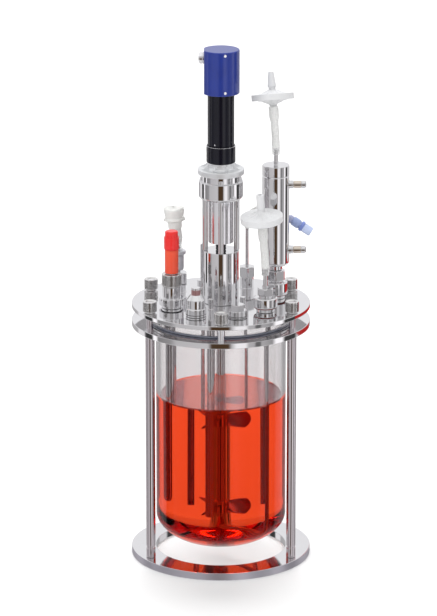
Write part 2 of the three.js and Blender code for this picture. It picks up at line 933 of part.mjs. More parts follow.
// Round vent filter: two stepped domes on a clamped rim, a nozzle above and a barb below.
function ventFilter() {
  const below = [
    [0, -filter.down - filter.barbLength],
    [filter.barb, -filter.down - filter.barbLength],
    [filter.barb, -filter.down],
    [filter.nozzle, -filter.down],
    [filter.nozzle, -filter.dome],
    [filter.domeRadius, -filter.shoulder],
    [filter.radius, -filter.rim],
  ];
  const above = [
    [filter.radius, filter.rim],
    [filter.domeRadius, filter.shoulder],
    [filter.nozzle, filter.dome],
    [filter.nozzle, filter.up],
    [filter.barb, filter.up],
    [filter.barb, filter.up - filter.mouth],
    [0, filter.up - filter.mouth],
  ];
  return turned([...below, ...above], sides.body);
}

// Condenser -------------------------------------------------------------------------------

function condenserAdapter() {
  const steps = [
    [port.spigot, spigotLength],
    [hub.groove, hub.grooveHeight],
    [hub.radius, condenserHub.height],
    [hub.neck, hub.neckHeight],
    [condenserHub.nut, condenserHub.nutHeight],
  ];
  return steppedRod(spigotLevel, steps);
}

// A cooling-water nozzle, its root sunk in the shell.
function coolingNozzle(level) {
  const sunk = 2;
  const tail = nozzle.reach - nozzle.collarLength - nozzle.grooveWidth;
  const steps = [
    [nozzle.collar, nozzle.collarLength + sunk],
    [nozzle.radius - nozzle.groove, nozzle.grooveWidth],
    [nozzle.radius, tail],
  ];
  return steppedRod(condenser.radius - sunk, steps)
    .rotateY(Math.PI / 2)
    .translate(0, 0, level);
}

function condenserBody() {
  const { radius, height, chamfer, seam, stub, stubLength, pipeRise } = condenser;
  const seamLevel = height - condenser.seamDrop;
  const edge = 1;
  const shell = turned(
    [
      [0, -stubLength],
      [stub, -stubLength],
      [stub, 0],
      [radius - chamfer, 0],
      [radius, chamfer],
      [radius, seamLevel - seam],
      [radius - seam, seamLevel],
      [radius, seamLevel + seam],
      [radius, height - edge],
      [radius - edge, height],
      [sparger.pipe, height],
      [sparger.pipe, height + pipeRise],
      [0, height + pipeRise],
    ],
    sides.body,
  );
  return joined([shell, ...nozzle.levels.map(coolingNozzle)]);
}

// Sample line, vent and dip tube ------------------------------------------------------------

function straightPipe(line) {
  const low = pipeTip(line) - plateTop;
  return steppedTube(low, line.bore, [[line.pipe, line.top - low]], sides.pin, 0);
}

// The sample hose's centre line, from the pipe's end over to the connector.
const hoseRoute = [
  [0, 0, seat],
  [0, 0, 3],
  [0, 0, 6],
  [0.1, 0, 9],
  [1, -0.2, 14.2],
  [3.7, -0.7, 19.8],
  [8.1, -1.6, 24.2],
  [13.5, -2.7, 27],
  [19.6, -3.9, 28],
  [25.1, -5, 27.6],
  [30.4, -6.1, 26.5],
  [35.6, -7.1, 24.5],
  [39.8, -8, 22.3],
  [44.4, -8.9, 19.5],
  [49, -9.8, 16.7],
].map((point) => new THREE.Vector3(...point));

function sampleHose() {
  return swept(new THREE.CatmullRomCurve3(hoseRoute), hose.radius, 0, 19);
}

function lineConnector() {
  const steps = [
    [lineFitting.tail, lineFitting.tailLength],
    [lineFitting.lock, lineFitting.lockLength],
    [lineFitting.waist, lineFitting.waistLength],
    [lineFitting.rim, lineFitting.rimLength],
    [lineFitting.sleeve, lineFitting.sleeveLength],
  ];
  return steppedRod(seat, steps);
}

// The vent's stem stands in its gland; a round body and a ring carry the hose above.
function ventStem() {
  const ringTop = vent.ringLevel + vent.ringHeight;
  const steps = [
    [vent.pipe, vent.bodyLevel - spigotLevel],
    [vent.body, vent.ringLevel - vent.bodyLevel],
    [vent.ring, vent.ringHeight],
    [vent.pipe, vent.top - ringTop],
  ];
  return steppedTube(spigotLevel, vent.bore, steps);
}

function ventCap() {
  const steps = [
    [filter.barb, ventCover.barbLength],
    [ventCover.foot, ventCover.footHeight],
    [ventCover.ring, ventCover.ringHeight],
    [ventCover.waist, ventCover.waistHeight],
    [ventCover.cap, ventCover.capHeight],
  ];
  return steppedRod(-ventCover.barbLength, steps, sides.fitting, 0.8);
}

// Assembly --------------------------------------------------------------------------------

addPiece("base_ring", baseRing(), polishedSteel, bioreactor);
for (const [side, angle] of Object.entries(postAngles)) {
  const place = onCircle(boltCircle, angle);
  addPiece("post_" + side, standPost(), polishedSteel, bioreactor, place);
}
for (const [side, angle] of Object.entries(studAngles)) {
  const place = onCircle(boltCircle, angle);
  addPiece("stud_" + side, headStud(), polishedSteel, bioreactor, place);
}
addPiece("clamp_ring", clampRing(), polishedSteel, bioreactor);
addPiece("glass_vessel", glassVessel(), clearGlass, bioreactor);
const gasketInner = vessel.outer + clamp.gap;
const ringGasket = flatRing(flangeRadius, gasketInner, clampTop + seat, gasket.thickness);
addPiece("flange_gasket", ringGasket, blackRubber, bioreactor);
const sealInner = innerRadius + headSeal.inset;
const sealOuter = sealInner + headSeal.width;
const ringSeal = flatRing(sealOuter, sealInner, flangeTop + seat, headSeal.thickness);
addPiece("head_seal", ringSeal, blackRubber, bioreactor);
addPiece("culture_medium", liquid(), medium, bioreactor);

addPiece("head_plate", headPlate(), polishedSteel);
for (const [side, angle] of Object.entries(boltAngles)) {
  const place = onCircle(boltCircle, angle, seat);
  addPiece("head_nut_" + side, knurledHeadNut(), machinedSteel, head, place);
}

addPiece("drive_shaft", driveShaft(), polishedSteel);
for (const [name, level] of Object.entries(impellerLevels)) {
  const centre = new THREE.Vector3(0, 0, innerFloor + level - plateTop);
  addPiece("impeller_" + name, impellerSolid(), polishedSteel, head, centre);
}
addPiece("drive_coupling", ribbedCoupling(), blackRubber);
addPiece("drive_sleeve", driveSleeve(), polishedSteel);
addPiece("bearing_housing", bearingHousing(), polishedSteel);
addPiece("shaft_bearing", shaftBearing(), machinedSteel);
for (const [side, angle] of Object.entries({ right: 0, rear: 90, left: 180, front: 270 })) {
  const place = onCircle(rodCircle, angle, housingTop + seat);
  addPiece("tie_rod_" + side, tieRodSolid(), polishedSteel, head, place);
}
addPiece("drive_collar", driveCollar(), polishedSteel);
addPiece("motor_flange", castFlange(), castAluminium);
addPiece("motor_gearbox", motorGearbox(), blackMetal);
addPiece("motor_barrel", motorBarrel(), blackMetal);
addPiece("motor_cap", motorCap(), blueCoat);
const connectorPlace = new THREE.Vector3(-cap.flatAt - seat, 0, capLevel + connector.level);
addPiece("cap_connector", cableConnector(), machinedSteel, head, connectorPlace);

addPiece("sensor_adapter", sensorAdapter(), polishedSteel, head, places.sensor);
addPiece("sensor_nut", sensorGlandNut(), machinedSteel, head, places.sensor);
addPiece("ph_sensor", phSensor(), orangePlastic, head, places.sensor);
addPiece("sensor_cap", sensorCap(), redPlastic, head, places.sensor);
addPiece("septum_port", septumPort(), polishedSteel, head, places.septum);
addPiece("blank_plug", blankPlug(), polishedSteel, head, places.plug);

// Gland nuts: the port each stands on, the level of its seat and the pipe it grips.
const glands = {
  sparger: [hubNeckTop + sparger.hubHeight, sparger.pipe],
  sample: [sample.bossHeight, sample.pipe],
  vent: [vent.bossHeight, vent.pipe],
};
for (const [name, [level, pipe]] of Object.entries(glands)) {
  const place = places[name].clone().setZ(level + seat);
  addPiece(name + "_nut", hexNut(glandNuts[name], pipe), polishedSteel, head, place);
}
addPiece("sparger_adapter", gasAdapter(), polishedSteel, head, places.sparger);
addPiece("sparger_pipe", spargerPipe(), polishedSteel, head, places.sparger);
addPiece("sample_pipe", straightPipe(sample), polishedSteel, head, places.sample);
addPiece("dip_tube", straightPipe(dip), polishedSteel, head, places.dip);
const condenserPlace = places.condenser.clone().setZ(condenserLevel);
addPiece("condenser_adapter", condenserAdapter(), polishedSteel, head, places.condenser);
addPiece("condenser", condenserBody(), polishedSteel, head, condenserPlace);
addPiece("vent_stem", ventStem(), polishedSteel, head, places.vent);

// A hose that starts at a level over its port, and what leans on its upper end.
function addLeaning(prefix, place, low, down, { centre, axis }) {
  addPiece(prefix + "_hose", leaningHose(low, centre, axis, down), clearSilicone, head, place);
  return place.clone().add(new THREE.Vector3(...centre));
}

const filterSeat = filter.down + seat;
const inletLow = sparger.rise - silicone.overlap;
const inletPlace = addLeaning("inlet", places.sparger, inletLow, filterSeat, inletFilter);
const inletTop = leaned(ventFilter(), inletFilter.axis);
addPiece("inlet_filter", inletTop, milkyPlastic, head, inletPlace);

const exhaustLow = condenserLevel + condenser.height + condenser.pipeRise - silicone.overlap;
const exhaustPlace = addLeaning("exhaust", places.condenser, exhaustLow, filterSeat, exhaustFilter);
const exhaustTop = leaned(ventFilter(), exhaustFilter.axis);
addPiece("exhaust_filter", exhaustTop, milkyPlastic, head, exhaustPlace);

const ventLow = vent.ringLevel + vent.ringHeight + seat;
const ventPlace = addLeaning("vent", places.vent, ventLow, seat, ventCover);
addPiece("vent_cap", leaned(ventCap(), ventCover.axis), milkyPlastic, head, ventPlace);

const hoseStart = places.sample.clone().setZ(sample.top);
addPiece("sample_hose", sampleHose(), clearSilicone, head, hoseStart);
const hoseEnd = hoseRoute.at(-1);
const hoseAim = hoseEnd.clone().sub(hoseRoute.at(-2)).toArray();
const connectorStart = hoseStart.clone().add(hoseEnd);
const fitting = leaned(lineConnector(), hoseAim);
addPiece("sample_connector", fitting, bluePlastic, head, connectorStart);

export default bioreactor;
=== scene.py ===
"""Looks of the bench bioreactor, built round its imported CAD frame.

Lengths in this script are millimetres until a mesh is made; the meshes are in metres.
Levels are heights above the bench. Round sizes are radii.
"""

import math

import bmesh
import bpy
import numpy as np
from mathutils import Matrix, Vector


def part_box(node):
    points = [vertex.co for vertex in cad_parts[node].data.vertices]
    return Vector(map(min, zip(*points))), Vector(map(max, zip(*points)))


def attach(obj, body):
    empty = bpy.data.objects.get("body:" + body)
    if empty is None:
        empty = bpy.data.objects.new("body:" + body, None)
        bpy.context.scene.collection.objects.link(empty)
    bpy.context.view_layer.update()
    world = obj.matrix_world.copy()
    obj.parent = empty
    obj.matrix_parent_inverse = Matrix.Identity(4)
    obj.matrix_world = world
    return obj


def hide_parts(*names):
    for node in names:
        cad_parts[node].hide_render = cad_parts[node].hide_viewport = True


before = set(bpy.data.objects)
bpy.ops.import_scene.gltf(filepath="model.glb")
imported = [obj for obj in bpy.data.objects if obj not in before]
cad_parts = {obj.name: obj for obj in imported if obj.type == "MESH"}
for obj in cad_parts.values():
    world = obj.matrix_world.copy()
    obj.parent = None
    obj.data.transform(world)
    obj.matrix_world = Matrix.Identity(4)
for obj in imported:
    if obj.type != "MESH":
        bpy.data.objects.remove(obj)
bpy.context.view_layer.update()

MM = 0.001
FULL_TURN = 2 * math.pi

PLATE_TOP = 317.5
FLANGE_TOP = 309.4
SURFACE_LEVEL = 203.0
FLOOR_LEVEL = 18.5
VESSEL_BOTTOM = 13.5
WELL_FOOT = FLOOR_LEVEL + 40
GLASS_OUTER = 78.5
GLASS_INNER = 73.5
STUB_CIRCLE = 36.5
SEAT = 0.3


# Camera ----------------------------------------------------

camera = bpy.data.objects.new("camera", bpy.data.cameras.new("camera"))
bpy.context.scene.collection.objects.link(camera)
camera.location = (-0.0029, -4.7953, 1.7249)
camera.rotation_euler = (math.radians(90 - 16.45), 0, 0)
camera.data.lens = 242.8
camera.data.sensor_width = 36
camera.data.clip_end = 100
bpy.context.scene.camera = camera
bpy.context.scene.view_settings.view_transform = "Standard"


# Places from the frame -------------------------------------


def span(node):
    """Lowest and highest corner of a CAD node in millimetres."""
    low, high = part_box(node)
    return np.array(low) / MM, np.array(high) / MM


def levels(node):
    """Lowest and highest level of a CAD node."""
    low, high = span(node)
    return low[2], high[2]


def reach(node):
    """Outer radius of a round CAD node on the main axis."""
    return span(node)[1][1]


def middle(node):
    """Place in plan of a CAD node's axis."""
    low, high = span(node)
    return (low[:2] + high[:2]) / 2


def on_plate(node):
    """The point on a node's axis at the level of the head plate's top."""
    return np.array([*middle(node), PLATE_TOP])


def facing(degrees, distance=1.0):
    """The point that lies in a direction from the main axis, on the level 0."""
    turn = math.radians(degrees)
    return np.array([distance * math.cos(turn), distance * math.sin(turn), 0])


# Shader maths ----------------------------------------------


class Signal:
    """A socket that adds Math nodes when it is used in an expression."""

    def __init__(self, tree, socket):
        self.tree = tree
        self.socket = socket

    def maths(self, operation, *others):
        return self.tree.add("ShaderNodeMath", {"operation": operation}, self, *others)

    def __add__(self, other):
        return self.maths("ADD", other)

    def __mul__(self, other):
        return self.maths("MULTIPLY", other)

    def __truediv__(self, other):
        return self.maths("DIVIDE", other)

    __radd__ = __add__
    __rmul__ = __mul__

    def above(self, edge):
        return self.maths("GREATER_THAN", edge)

    def clamped(self):
        return self.tree.add("ShaderNodeClamp", {}, self)

    def smooth(self, low, high):
        """0 below low, 1 above high, with an eased step between."""
        settings = {"interpolation_type": "SMOOTHSTEP"}
        return self.tree.add("ShaderNodeMapRange", settings, self, low, high, 0.0, 1.0)


class Tree:
    """The node tree of a material or the world, emptied, with its output node."""

    def __init__(self, owner):
        owner.use_nodes = True
        self.nodes = owner.node_tree.nodes
        self.links = owner.node_tree.links
        self.nodes.clear()
        kind = "World" if isinstance(owner, bpy.types.World) else "Material"
        self.output = self.nodes.new("ShaderNodeOutput" + kind)

    def show(self, surface):
        """Makes a shader the one that is seen."""
        self.links.new(surface.socket, self.output.inputs["Surface"])

    def add(self, kind, settings=None, *values, output=None, **named):
        """Adds a node: its settings first, then the values or links of its sockets."""
        node = self.nodes.new(kind)
        for key, value in (settings or {}).items():
            setattr(node, key, value)
        sockets = [s for s in node.inputs if s.enabled]
        pairs = list(zip(sockets, values))
        pairs += [(node.inputs[key.replace("_", " ")], value) for key, value in named.items()]
        for socket, value in pairs:
            if isinstance(value, Signal):
                self.links.new(value.socket, socket)
            elif value is not None:
                socket.default_value = value
        first = next(s for s in node.outputs if s.enabled)
        return Signal(self, node.outputs[output] if output else first)

    def ramp(self, factor, stops):
        """A colour ramp with its stops as (position, colour) pairs."""
        node = self.nodes.new("ShaderNodeValToRGB")
        elements = node.color_ramp.elements
        while len(elements) < len(stops):
            elements.new(1.0)
        for element, (position, colour) in zip(elements, stops):
            element.position = position
            element.color = (*colour, 1.0)
        self.links.new(factor.socket, node.inputs[0])
        return Signal(self, node.outputs[0])

    def blend(self, factor, first, second):
        """Mixes two colours."""
        node = self.nodes.new("ShaderNodeMix")
        node.data_type = "RGBA"
        for key, value in (("Factor_Float", factor), ("A_Color", first), ("B_Color", second)):
            socket = next(s for s in node.inputs if s.identifier == key)
            if isinstance(value, Signal):
                self.links.new(value.socket, socket)
            else:
                socket.default_value = value if isinstance(value, float) else (*value, 1.0)
        return Signal(self, next(s for s in node.outputs if s.identifier == "Result_Color"))

    def mix(self, factor, first, second):
        """Mixes two shaders."""
        return self.add("ShaderNodeMixShader", {}, factor, first, second)

    def light(self, kind):
        """How the light that meets this surface came to it."""
        return self.add("ShaderNodeLightPath", {}, output=kind)

    def place(self, scale):
        """Object coordinates, scaled; the objects' own lengths are metres."""
        where = self.add("ShaderNodeTexCoord", {}, output="Object")
        return self.add("ShaderNodeMapping", {"vector_type": "POINT"}, where, Scale=scale)

    def noise(self, scale, detail=3.0, roughness=0.5, stretch=(1, 1, 1)):
        """Noise from 0 to 1 with about scale bumps to the metre."""
        named = {"Scale": scale, "Detail": detail, "Roughness": roughness}
        return self.add("ShaderNodeTexNoise", {}, Vector=self.place(stretch), **named)

    def bump(self, height, strength):
        """A relief of a fifth of a millimetre times the height."""
        named = {"Height": height, "Strength": strength, "Distance": 0.0002}
        return self.add("ShaderNodeBump", {}, **named)


def srgb(red, green, blue):
    """A colour from 0 to 255 on a screen, as linear light."""
    values = np.array([red, green, blue]) / 255
    low = values / 12.92
    high = ((values + 0.055) / 1.055) ** 2.4
    return tuple(float(v) for v in np.where(values <= 0.04045, low, high))


FINISHES = {}


def finish(name, slot, **sockets):
    """Registers a material: a Principled shader with its even values, and its node tree."""
    material = bpy.data.materials.new(name)
    tree = Tree(material)
    shader = tree.add("ShaderNodeBsdfPrincipled", {}, **sockets)
    tree.show(shader)
    FINISHES[name] = (material, slot)
    return tree, shader


def feed(shader, **signals):
    """Links what changes over a surface to the shader's sockets."""
    for key, value in signals.items():
        socket = shader.socket.node.inputs[key.replace("_", " ")]
        shader.tree.links.new(value.socket, socket)


def steel(name, slot, tone, low, high, turned=0.012, scratch=0.02):
    """Bare steel: smeared gloss between two roughnesses, and fine marks left by the lathe."""
    tree, shader = finish(name, slot, Metallic=1.0)
    smear = tree.noise(35.0, 4.0, 0.55)
    haze = tree.noise(420.0, 2.0, 0.6)
    gloss = low + (high - low) * (smear * 0.6 + haze * 0.4)
    shade = tree.blend(smear, tuple(0.93 * v for v in tone), tone)
    rings = tree.noise(900.0, 2.0, 0.5, (0.02, 0.02, 1.0))
    grain = tree.noise(2600.0, 2.0, 0.6)
    relief = rings * turned + grain * scratch
    feed(shader, Base_Color=shade, Roughness=gloss, Normal=tree.bump(relief, 0.5))


def plastic(name, slot, tone, deep, low=0.25, high=0.4, coat=0.0, grain=0.05, **sockets):
    """Moulded or coated: a tone that drifts a little, gloss that varies, a fine skin."""
    tree, shader = finish(name, slot, **{"Coat Weight": coat}, **sockets)
    drift = tree.noise(60.0, 3.0, 0.5)
    skin = tree.noise(1500.0, 3.0, 0.6)
    gloss = low + (high - low) * skin
    shade = tree.blend(drift, deep, tone)
    feed(shader, Base_Color=shade, Roughness=gloss, Normal=tree.bump(skin, grain))


def clear(name, slot, tone, ior, bends=True, dims=0.97, **sockets):
    """Glass or liquid: light goes through, tinted at each face. Lamps and scattered light
    pass straight, dimmed; a face between two bodies that touch bends nothing."""
    sockets = {"Transmission Weight": 1.0, "IOR": ior, **sockets}
    tree, shader = finish(name, slot, **sockets)
    cloud = tree.noise(25.0, 2.0, 0.5)
    shade = tree.blend(cloud, tuple(v * 0.985 for v in tone), tone)
    feed(shader, Base_Color=shade, Roughness=cloud * 0.01)
    scattered = (tree.light("Is Shadow Ray") + tree.light("Is Diffuse Ray")).clamped()
    dimmed = tree.add("ShaderNodeBsdfTransparent", {}, (dims, dims, dims, 1.0))
    if bends:
        tree.show(tree.mix(scattered, shader, dimmed))
    else:
        tinted = tree.add("ShaderNodeBsdfTransparent", {}, (*tone, 1.0))
        tree.show(tree.mix(1.0, shader, tree.mix(scattered, tinted, dimmed)))


def make_finishes():
    """Every finish of the object."""
    steel("mirror_steel", "polished_steel", (0.78, 0.775, 0.785), 0.03, 0.09)
    # Steel under the liquid: its red-purple tone is a painted red cast standing for the medium's light
    # on it; the steel itself is grey.
    steel("immersed_steel", "polished_steel", (0.56, 0.27, 0.33), 0.08, 0.16)
    steel("post_steel", "polished_steel", (0.67, 0.62, 0.645), 0.05, 0.12)
    steel("copper_ring", "knurled_steel", (0.60, 0.36, 0.36), 0.25, 0.4)
    steel("satin_steel", "polished_steel", (0.92, 0.915, 0.94), 0.16, 0.24, 0.03, 0.04)
    # The foot ring's outer edge: rougher turned steel, and a darker lavender tone that is a painted
    # reflection of the shaded floor below it.
    steel("edge_steel_painted_shade", "polished_steel", (0.56, 0.54, 0.60), 0.34, 0.44, 0.03, 0.04)
    steel("knurled_steel", "knurled_steel", (0.80, 0.79, 0.78), 0.20, 0.32, 0.02, 0.06)
    # Stainless steel whose warm tan tone is a painted warm reflection; the metal itself is plain steel.
    steel("steel_painted_warm_reflection", "polished_steel", (0.74, 0.66, 0.58), 0.08, 0.16)
    steel("cast_aluminium", "cast_aluminium", (0.96, 0.97, 0.98), 0.42, 0.56, 0.01, 0.35)
    black = {"Specular IOR Level": 0.36}
    plastic("black_anodised", "black_metal", srgb(6, 7, 24), srgb(4, 4, 16), 0.18, 0.28, 0.04, **black)
    plastic("blue_enamel", "blue_coat", srgb(20, 46, 136), srgb(16, 38, 118), 0.24, 0.36, 0.3)
    plastic("black_rubber", "seal_rubber", srgb(30, 30, 34), srgb(20, 20, 24), 0.5, 0.7, 0, 0.3)
    plastic("grey_seal", "seal_rubber", srgb(176, 179, 190), srgb(156, 160, 172), 0.3, 0.5, 0, 0.2)
    # The flange gasket is black rubber; this pale grey tone with a coat is painted light over the shade
    # under the plate.
    plastic("dark_seal", "seal_rubber", srgb(150, 154, 170), srgb(120, 124, 142), 0.2, 0.35, 0.5, 0.2)
    plastic("red_rubber", "seal_rubber", srgb(122, 24, 20), srgb(96, 18, 16), 0.45, 0.6, 0, 0.2)
    plastic("orange_shell", "orange_plastic", srgb(228, 77, 43), srgb(218, 68, 38), 0.25, 0.4, 0.2)
    plastic("red_cap", "red_plastic", srgb(229, 34, 29), srgb(214, 24, 22), 0.22, 0.36, 0.3)
    plastic("milky_shell", "milky_plastic", srgb(216, 216, 217), srgb(206, 207, 209), 0.3, 0.45)
    plastic("milky_grey", "milky_plastic", srgb(192, 192, 198), srgb(180, 180, 188), 0.25, 0.4)
    pale = {"Transmission Weight": 0.25, "IOR": 1.45}
    line = "connector_plastic"
    plastic("blue_lock", line, srgb(170, 185, 224), srgb(152, 168, 214), 0.2, 0.35, 0.2, **pale)
    plastic("lilac_shell", line, srgb(182, 186, 216), srgb(168, 174, 208), 0.2, 0.35, **pale)
    plastic("blue_band", line, srgb(128, 146, 208), srgb(112, 130, 198), 0.2, 0.35, 0.2)
    sleeve = {"Transmission Weight": 0.6, "IOR": 1.25}
    plastic("clear_sleeve", line, srgb(206, 216, 240), srgb(196, 207, 236), 0.08, 0.16, **sleeve)
    milk = {"Transmission Weight": 0.3, "IOR": 1.41}
    plastic("silicone_wall", "clear_silicone", (0.88, 0.88, 0.87), (0.84, 0.84, 0.83), 0.2, 0.35, **milk)
    thin = {"Transmission Weight": 0.85, "IOR": 1.15}
    plastic("thin_silicone", "clear_silicone", (0.88, 0.88, 0.88), (0.84, 0.84, 0.84), 0.1, 0.2, **thin)
    cloudy = {"Transmission Weight": 0.35, "IOR": 1.4}
    plastic("cloudy_shell", "milky_plastic", (0.85, 0.85, 0.83), (0.8, 0.8, 0.78), 0.3, 0.45, **cloudy)
    # The grey tint on each face of the glass above the liquid is painted shade: it greys the headspace
    # against the white room.
    clear("vessel_glass_painted_grey", "vessel_glass", (0.77, 0.755, 0.76), 1.5)
    dull = {"Specular Tint": (0.45, 0.40, 0.48, 1.0)}
    clear("wetted_glass", "vessel_glass", (0.84, 0.79, 0.80), 1.24, **dull)
    clear("wetted_wall", "vessel_glass", (0.995, 0.995, 0.995), 1.35, bends=False, dims=1.0)
    clear("medium_side", "medium", (0.91, 0.262, 0.125), 1.35, bends=False, dims=0.98)
    # The liquid's top is pinker than its sides and its reflections are tinted pink: a painted pink
    # reflection.
    pink_painted_sheen = {"Specular Tint": (1.0, 0.90, 1.0, 1.0), "Coat Weight": 1.0}
    clear("medium_surface", "medium", (1.0, 0.26, 0.24), 1.333, dims=0.98, **pink_painted_sheen)


make_finishes()


# Surfaces --------------------------------------------------


class Shell:
    """Points in millimetres, quads and the number of the finish on each quad."""

    def __init__(self, points, quads, finishes):
        self.points = points
        self.quads = quads
        self.finishes = finishes


def grid(points, finishes=0, wrap_rows=False):
    """A rows x columns grid of points as quads. Each row closes on itself, and the last row
    may join the first."""
    rows, columns = points.shape[:2]
    i = np.arange(rows if wrap_rows else rows - 1)[:, None]
    j = np.arange(columns)[None, :]
    up = (i + 1) % rows
    right = (j + 1) % columns
    corners = [i * columns + j, i * columns + right, up * columns + right, up * columns + j]
    quads = np.stack(corners, -1).reshape(-1, 4)
    per_row = np.broadcast_to(np.asarray(finishes).reshape(-1, 1), (len(i), j.shape[1]))
    return Shell(points.reshape(-1, 3), quads, per_row.reshape(-1).copy())


def frame_along(axis, side=(0, 1, 0)):
    """Three unit vectors, the last along the axis, as the rows of a matrix."""
    third = np.array(axis, float) / np.linalg.norm(axis)
    first = np.cross(side, third)
    first /= np.linalg.norm(first)
    return np.stack([first, np.cross(third, first), third])


def rounded(corners, size=0.5, steps=4, closed=False):
    """A profile with each corner turned by a small arc: a quadratic curve that starts and
    ends at most size from the corner, with a holding point beside each end of it."""
    pairs = zip(corners, [corners[-1] if closed else (math.nan,) * 2, *corners])
    corners = [c for c, before in pairs if math.dist(c[:2], before[:2]) != 0]
    points = np.array([c[:2] for c in corners], float)
    sizes = [c[2] if len(c) > 2 else size for c in corners]
    count = len(points)
    out = []
    for k, corner in enumerate(points):
        if not closed and k in (0, count - 1):
            out.append(corner[None])
            continue
        back = points[k - 1] - corner
        ahead = points[(k + 1) % count] - corner
        reach = min(sizes[k], 0.4 * np.linalg.norm(back), 0.4 * np.linalg.norm(ahead))
        back = back / np.linalg.norm(back) * reach
        ahead = ahead / np.linalg.norm(ahead) * reach
        t = np.linspace(0, 1, steps + 1)[:, None]
        arc = corner + back * (1 - t) ** 2 + ahead * t**2
        out += [corner[None] + back * 1.15, arc, corner[None] + ahead * 1.15]
    return np.concatenate(out)


def lathe(profile, at=(0, 0, 0), axis=(0, 0, 1), around=96, closed=False, form=None, finishes=0):
    """A profile of (radius, level) turned about an axis:
    x = radius cos u, y = radius sin u, z = level. form(u, radius, level) may reshape it."""
    turn = np.linspace(0, FULL_TURN, around, endpoint=False)[None, :]
    radius = np.repeat(profile[:, :1], around, 1)
    level = np.repeat(profile[:, 1:2], around, 1)
    if form:
        radius, level = form(turn, radius, level)
    local = np.stack([radius * np.cos(turn), radius * np.sin(turn), level], -1)
    axis = np.array(axis, float)
    if abs(axis[0]) + abs(axis[1]) > 1e-9:
        side = (0, 1, 0) if abs(axis[1]) < abs(axis[2]) + abs(axis[0]) else (0, 0, 1)
        local = local @ frame_along(axis, side)
    return grid(local + np.array(at, float), finishes, wrap_rows=closed)


def rod(steps, level=0.0, size=0.5, **how):
    """Steps of (radius, length) stacked up from a level, closed at both ends on the axis."""
    return lathe(rounded(stepped(level, steps), size), **how)


def stepped(level, steps):
    corners = [(0, level)]
    for radius, length in steps:
        corners += [(radius, level), (radius, level + length)]
        level += length
    return corners + [(0, level)]


def bar(node, radius, size, **how):
    """A plain round bar over a node's whole height."""
    low, high = levels(node)
    return rod([(radius, high - low)], low, size, at=(*middle(node), 0), around=48, **how)


def turned(corners, size=0.5, **how):
    """A closed section with rounded corners, turned about an axis."""
    return lathe(rounded(corners, size, closed=True), closed=True, **how)


def ring(inner, outer, low, high, size=0.5, **how):
    """A flat ring with a rectangular section."""
    corners = [(inner, low), (outer, low), (outer, high), (inner, high)]
    return turned(corners, size, **how)


def o_ring(radius, level, thick, **how):
    """A round section turned about the axis."""
    turn = np.linspace(0, FULL_TURN, 16, endpoint=False)
    profile = np.stack([radius + thick * np.cos(turn), level + thick * np.sin(turn)], 1)
    return lathe(profile, closed=True, **how)


def through(points, count):
    """Points spread evenly by length along a smooth line through the given points
    (Catmull-Rom: each span is a cubic set by its two ends and their neighbours)."""
    points = np.array(points, float)
    ends = [2 * points[0] - points[1], *points, 2 * points[-1] - points[-2]]
    p = np.array(ends)
    t = np.linspace(0, 1, 24, endpoint=False)[None, :, None]
    a, b, c, d = (p[k : len(p) - 3 + k][:, None, :] for k in range(4))
    line = 0.5 * (
        2 * b + (c - a) * t + (2 * a - 5 * b + 4 * c - d) * t**2 + (3 * b - a - 3 * c + d) * t**3
    )
    line = np.concatenate([line.reshape(-1, 3), points[-1:]])
    run = np.concatenate([[0], np.cumsum(np.linalg.norm(np.diff(line, axis=0), axis=1))])
    wanted = np.linspace(0, run[-1], count)
    return np.stack([np.interp(wanted, run, line[:, k]) for k in range(3)], 1)


def sweep(path, radius, bore=0.0, side=(0, 1, 0), around=24, finishes=0):
    """A round section carried along a path. side is a direction the path never takes.
    Without a bore the ends close on the path; with one the inner wall runs back."""
    path = np.asarray(path, float)
    radius = np.broadcast_to(np.asarray(radius, float), len(path))
    ahead = np.gradient(path, axis=0)
    ahead /= np.linalg.norm(ahead, axis=1)[:, None]
    first = np.cross(np.array(side, float), ahead)
    first /= np.linalg.norm(first, axis=1)[:, None]
    second = np.cross(ahead, first)
    if bore:
        order = np.r_[0 : len(path), len(path) - 1 : -1 : -1]
        sizes = np.concatenate([radius, np.full(len(path), bore)])
    else:
        order = np.r_[0, 0 : len(path), len(path) - 1]
        sizes = np.concatenate([[0], radius, [0]])
    turn = np.linspace(0, FULL_TURN, around, endpoint=False)
    circle = first[order][:, None] * np.cos(turn)[None, :, None]
    circle = circle + second[order][:, None] * np.sin(turn)[None, :, None]
    points = path[order][:, None] + circle * sizes[:, None, None]
    return grid(points, finishes, wrap_rows=bool(bore))


def dipped(shell):
    """The same shell with finish 1 on every face below the liquid's level."""
    middles = shell.points[shell.quads][:, :, 2].mean(1)
    shell.finishes = np.where(middles < SURFACE_LEVEL, 1, shell.finishes)
    return shell


# The second finish is the steel with the liquid's red cast painted into its tone.
DIPPED = ["mirror_steel", "immersed_steel"]


def piece(name, shells, finishes, nodes=(), body="root", sharp=35):
    """One object made of shells; it rides on a body and stands for CAD nodes."""
    shells = shells if isinstance(shells, (list, tuple)) else [shells]
    finishes = [finishes] if isinstance(finishes, str) else finishes
    nodes = [nodes] if isinstance(nodes, str) else nodes
    starts = np.cumsum([0] + [len(s.points) for s in shells])
    points = np.concatenate([s.points for s in shells]) * MM
    quads = np.concatenate([s.quads + start for s, start in zip(shells, starts)])
    mesh = bpy.data.meshes.new(name)
    mesh.from_pydata(points, [], quads.tolist())
    mesh.polygons.foreach_set("material_index", np.concatenate([s.finishes for s in shells]))
    form = bmesh.new()
    form.from_mesh(mesh)
    bmesh.ops.remove_doubles(form, verts=form.verts, dist=2e-7)
    form.to_mesh(mesh)
    form.free()
    mesh.shade_smooth()
    mesh.set_sharp_from_angle(angle=math.radians(sharp))
    obj = bpy.data.objects.new(name, mesh)
    bpy.context.scene.collection.objects.link(obj)
    for key in finishes:
        mesh.materials.append(FINISHES[key][0])
    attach(obj, body)
    if nodes:
        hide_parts(*nodes)
    return obj


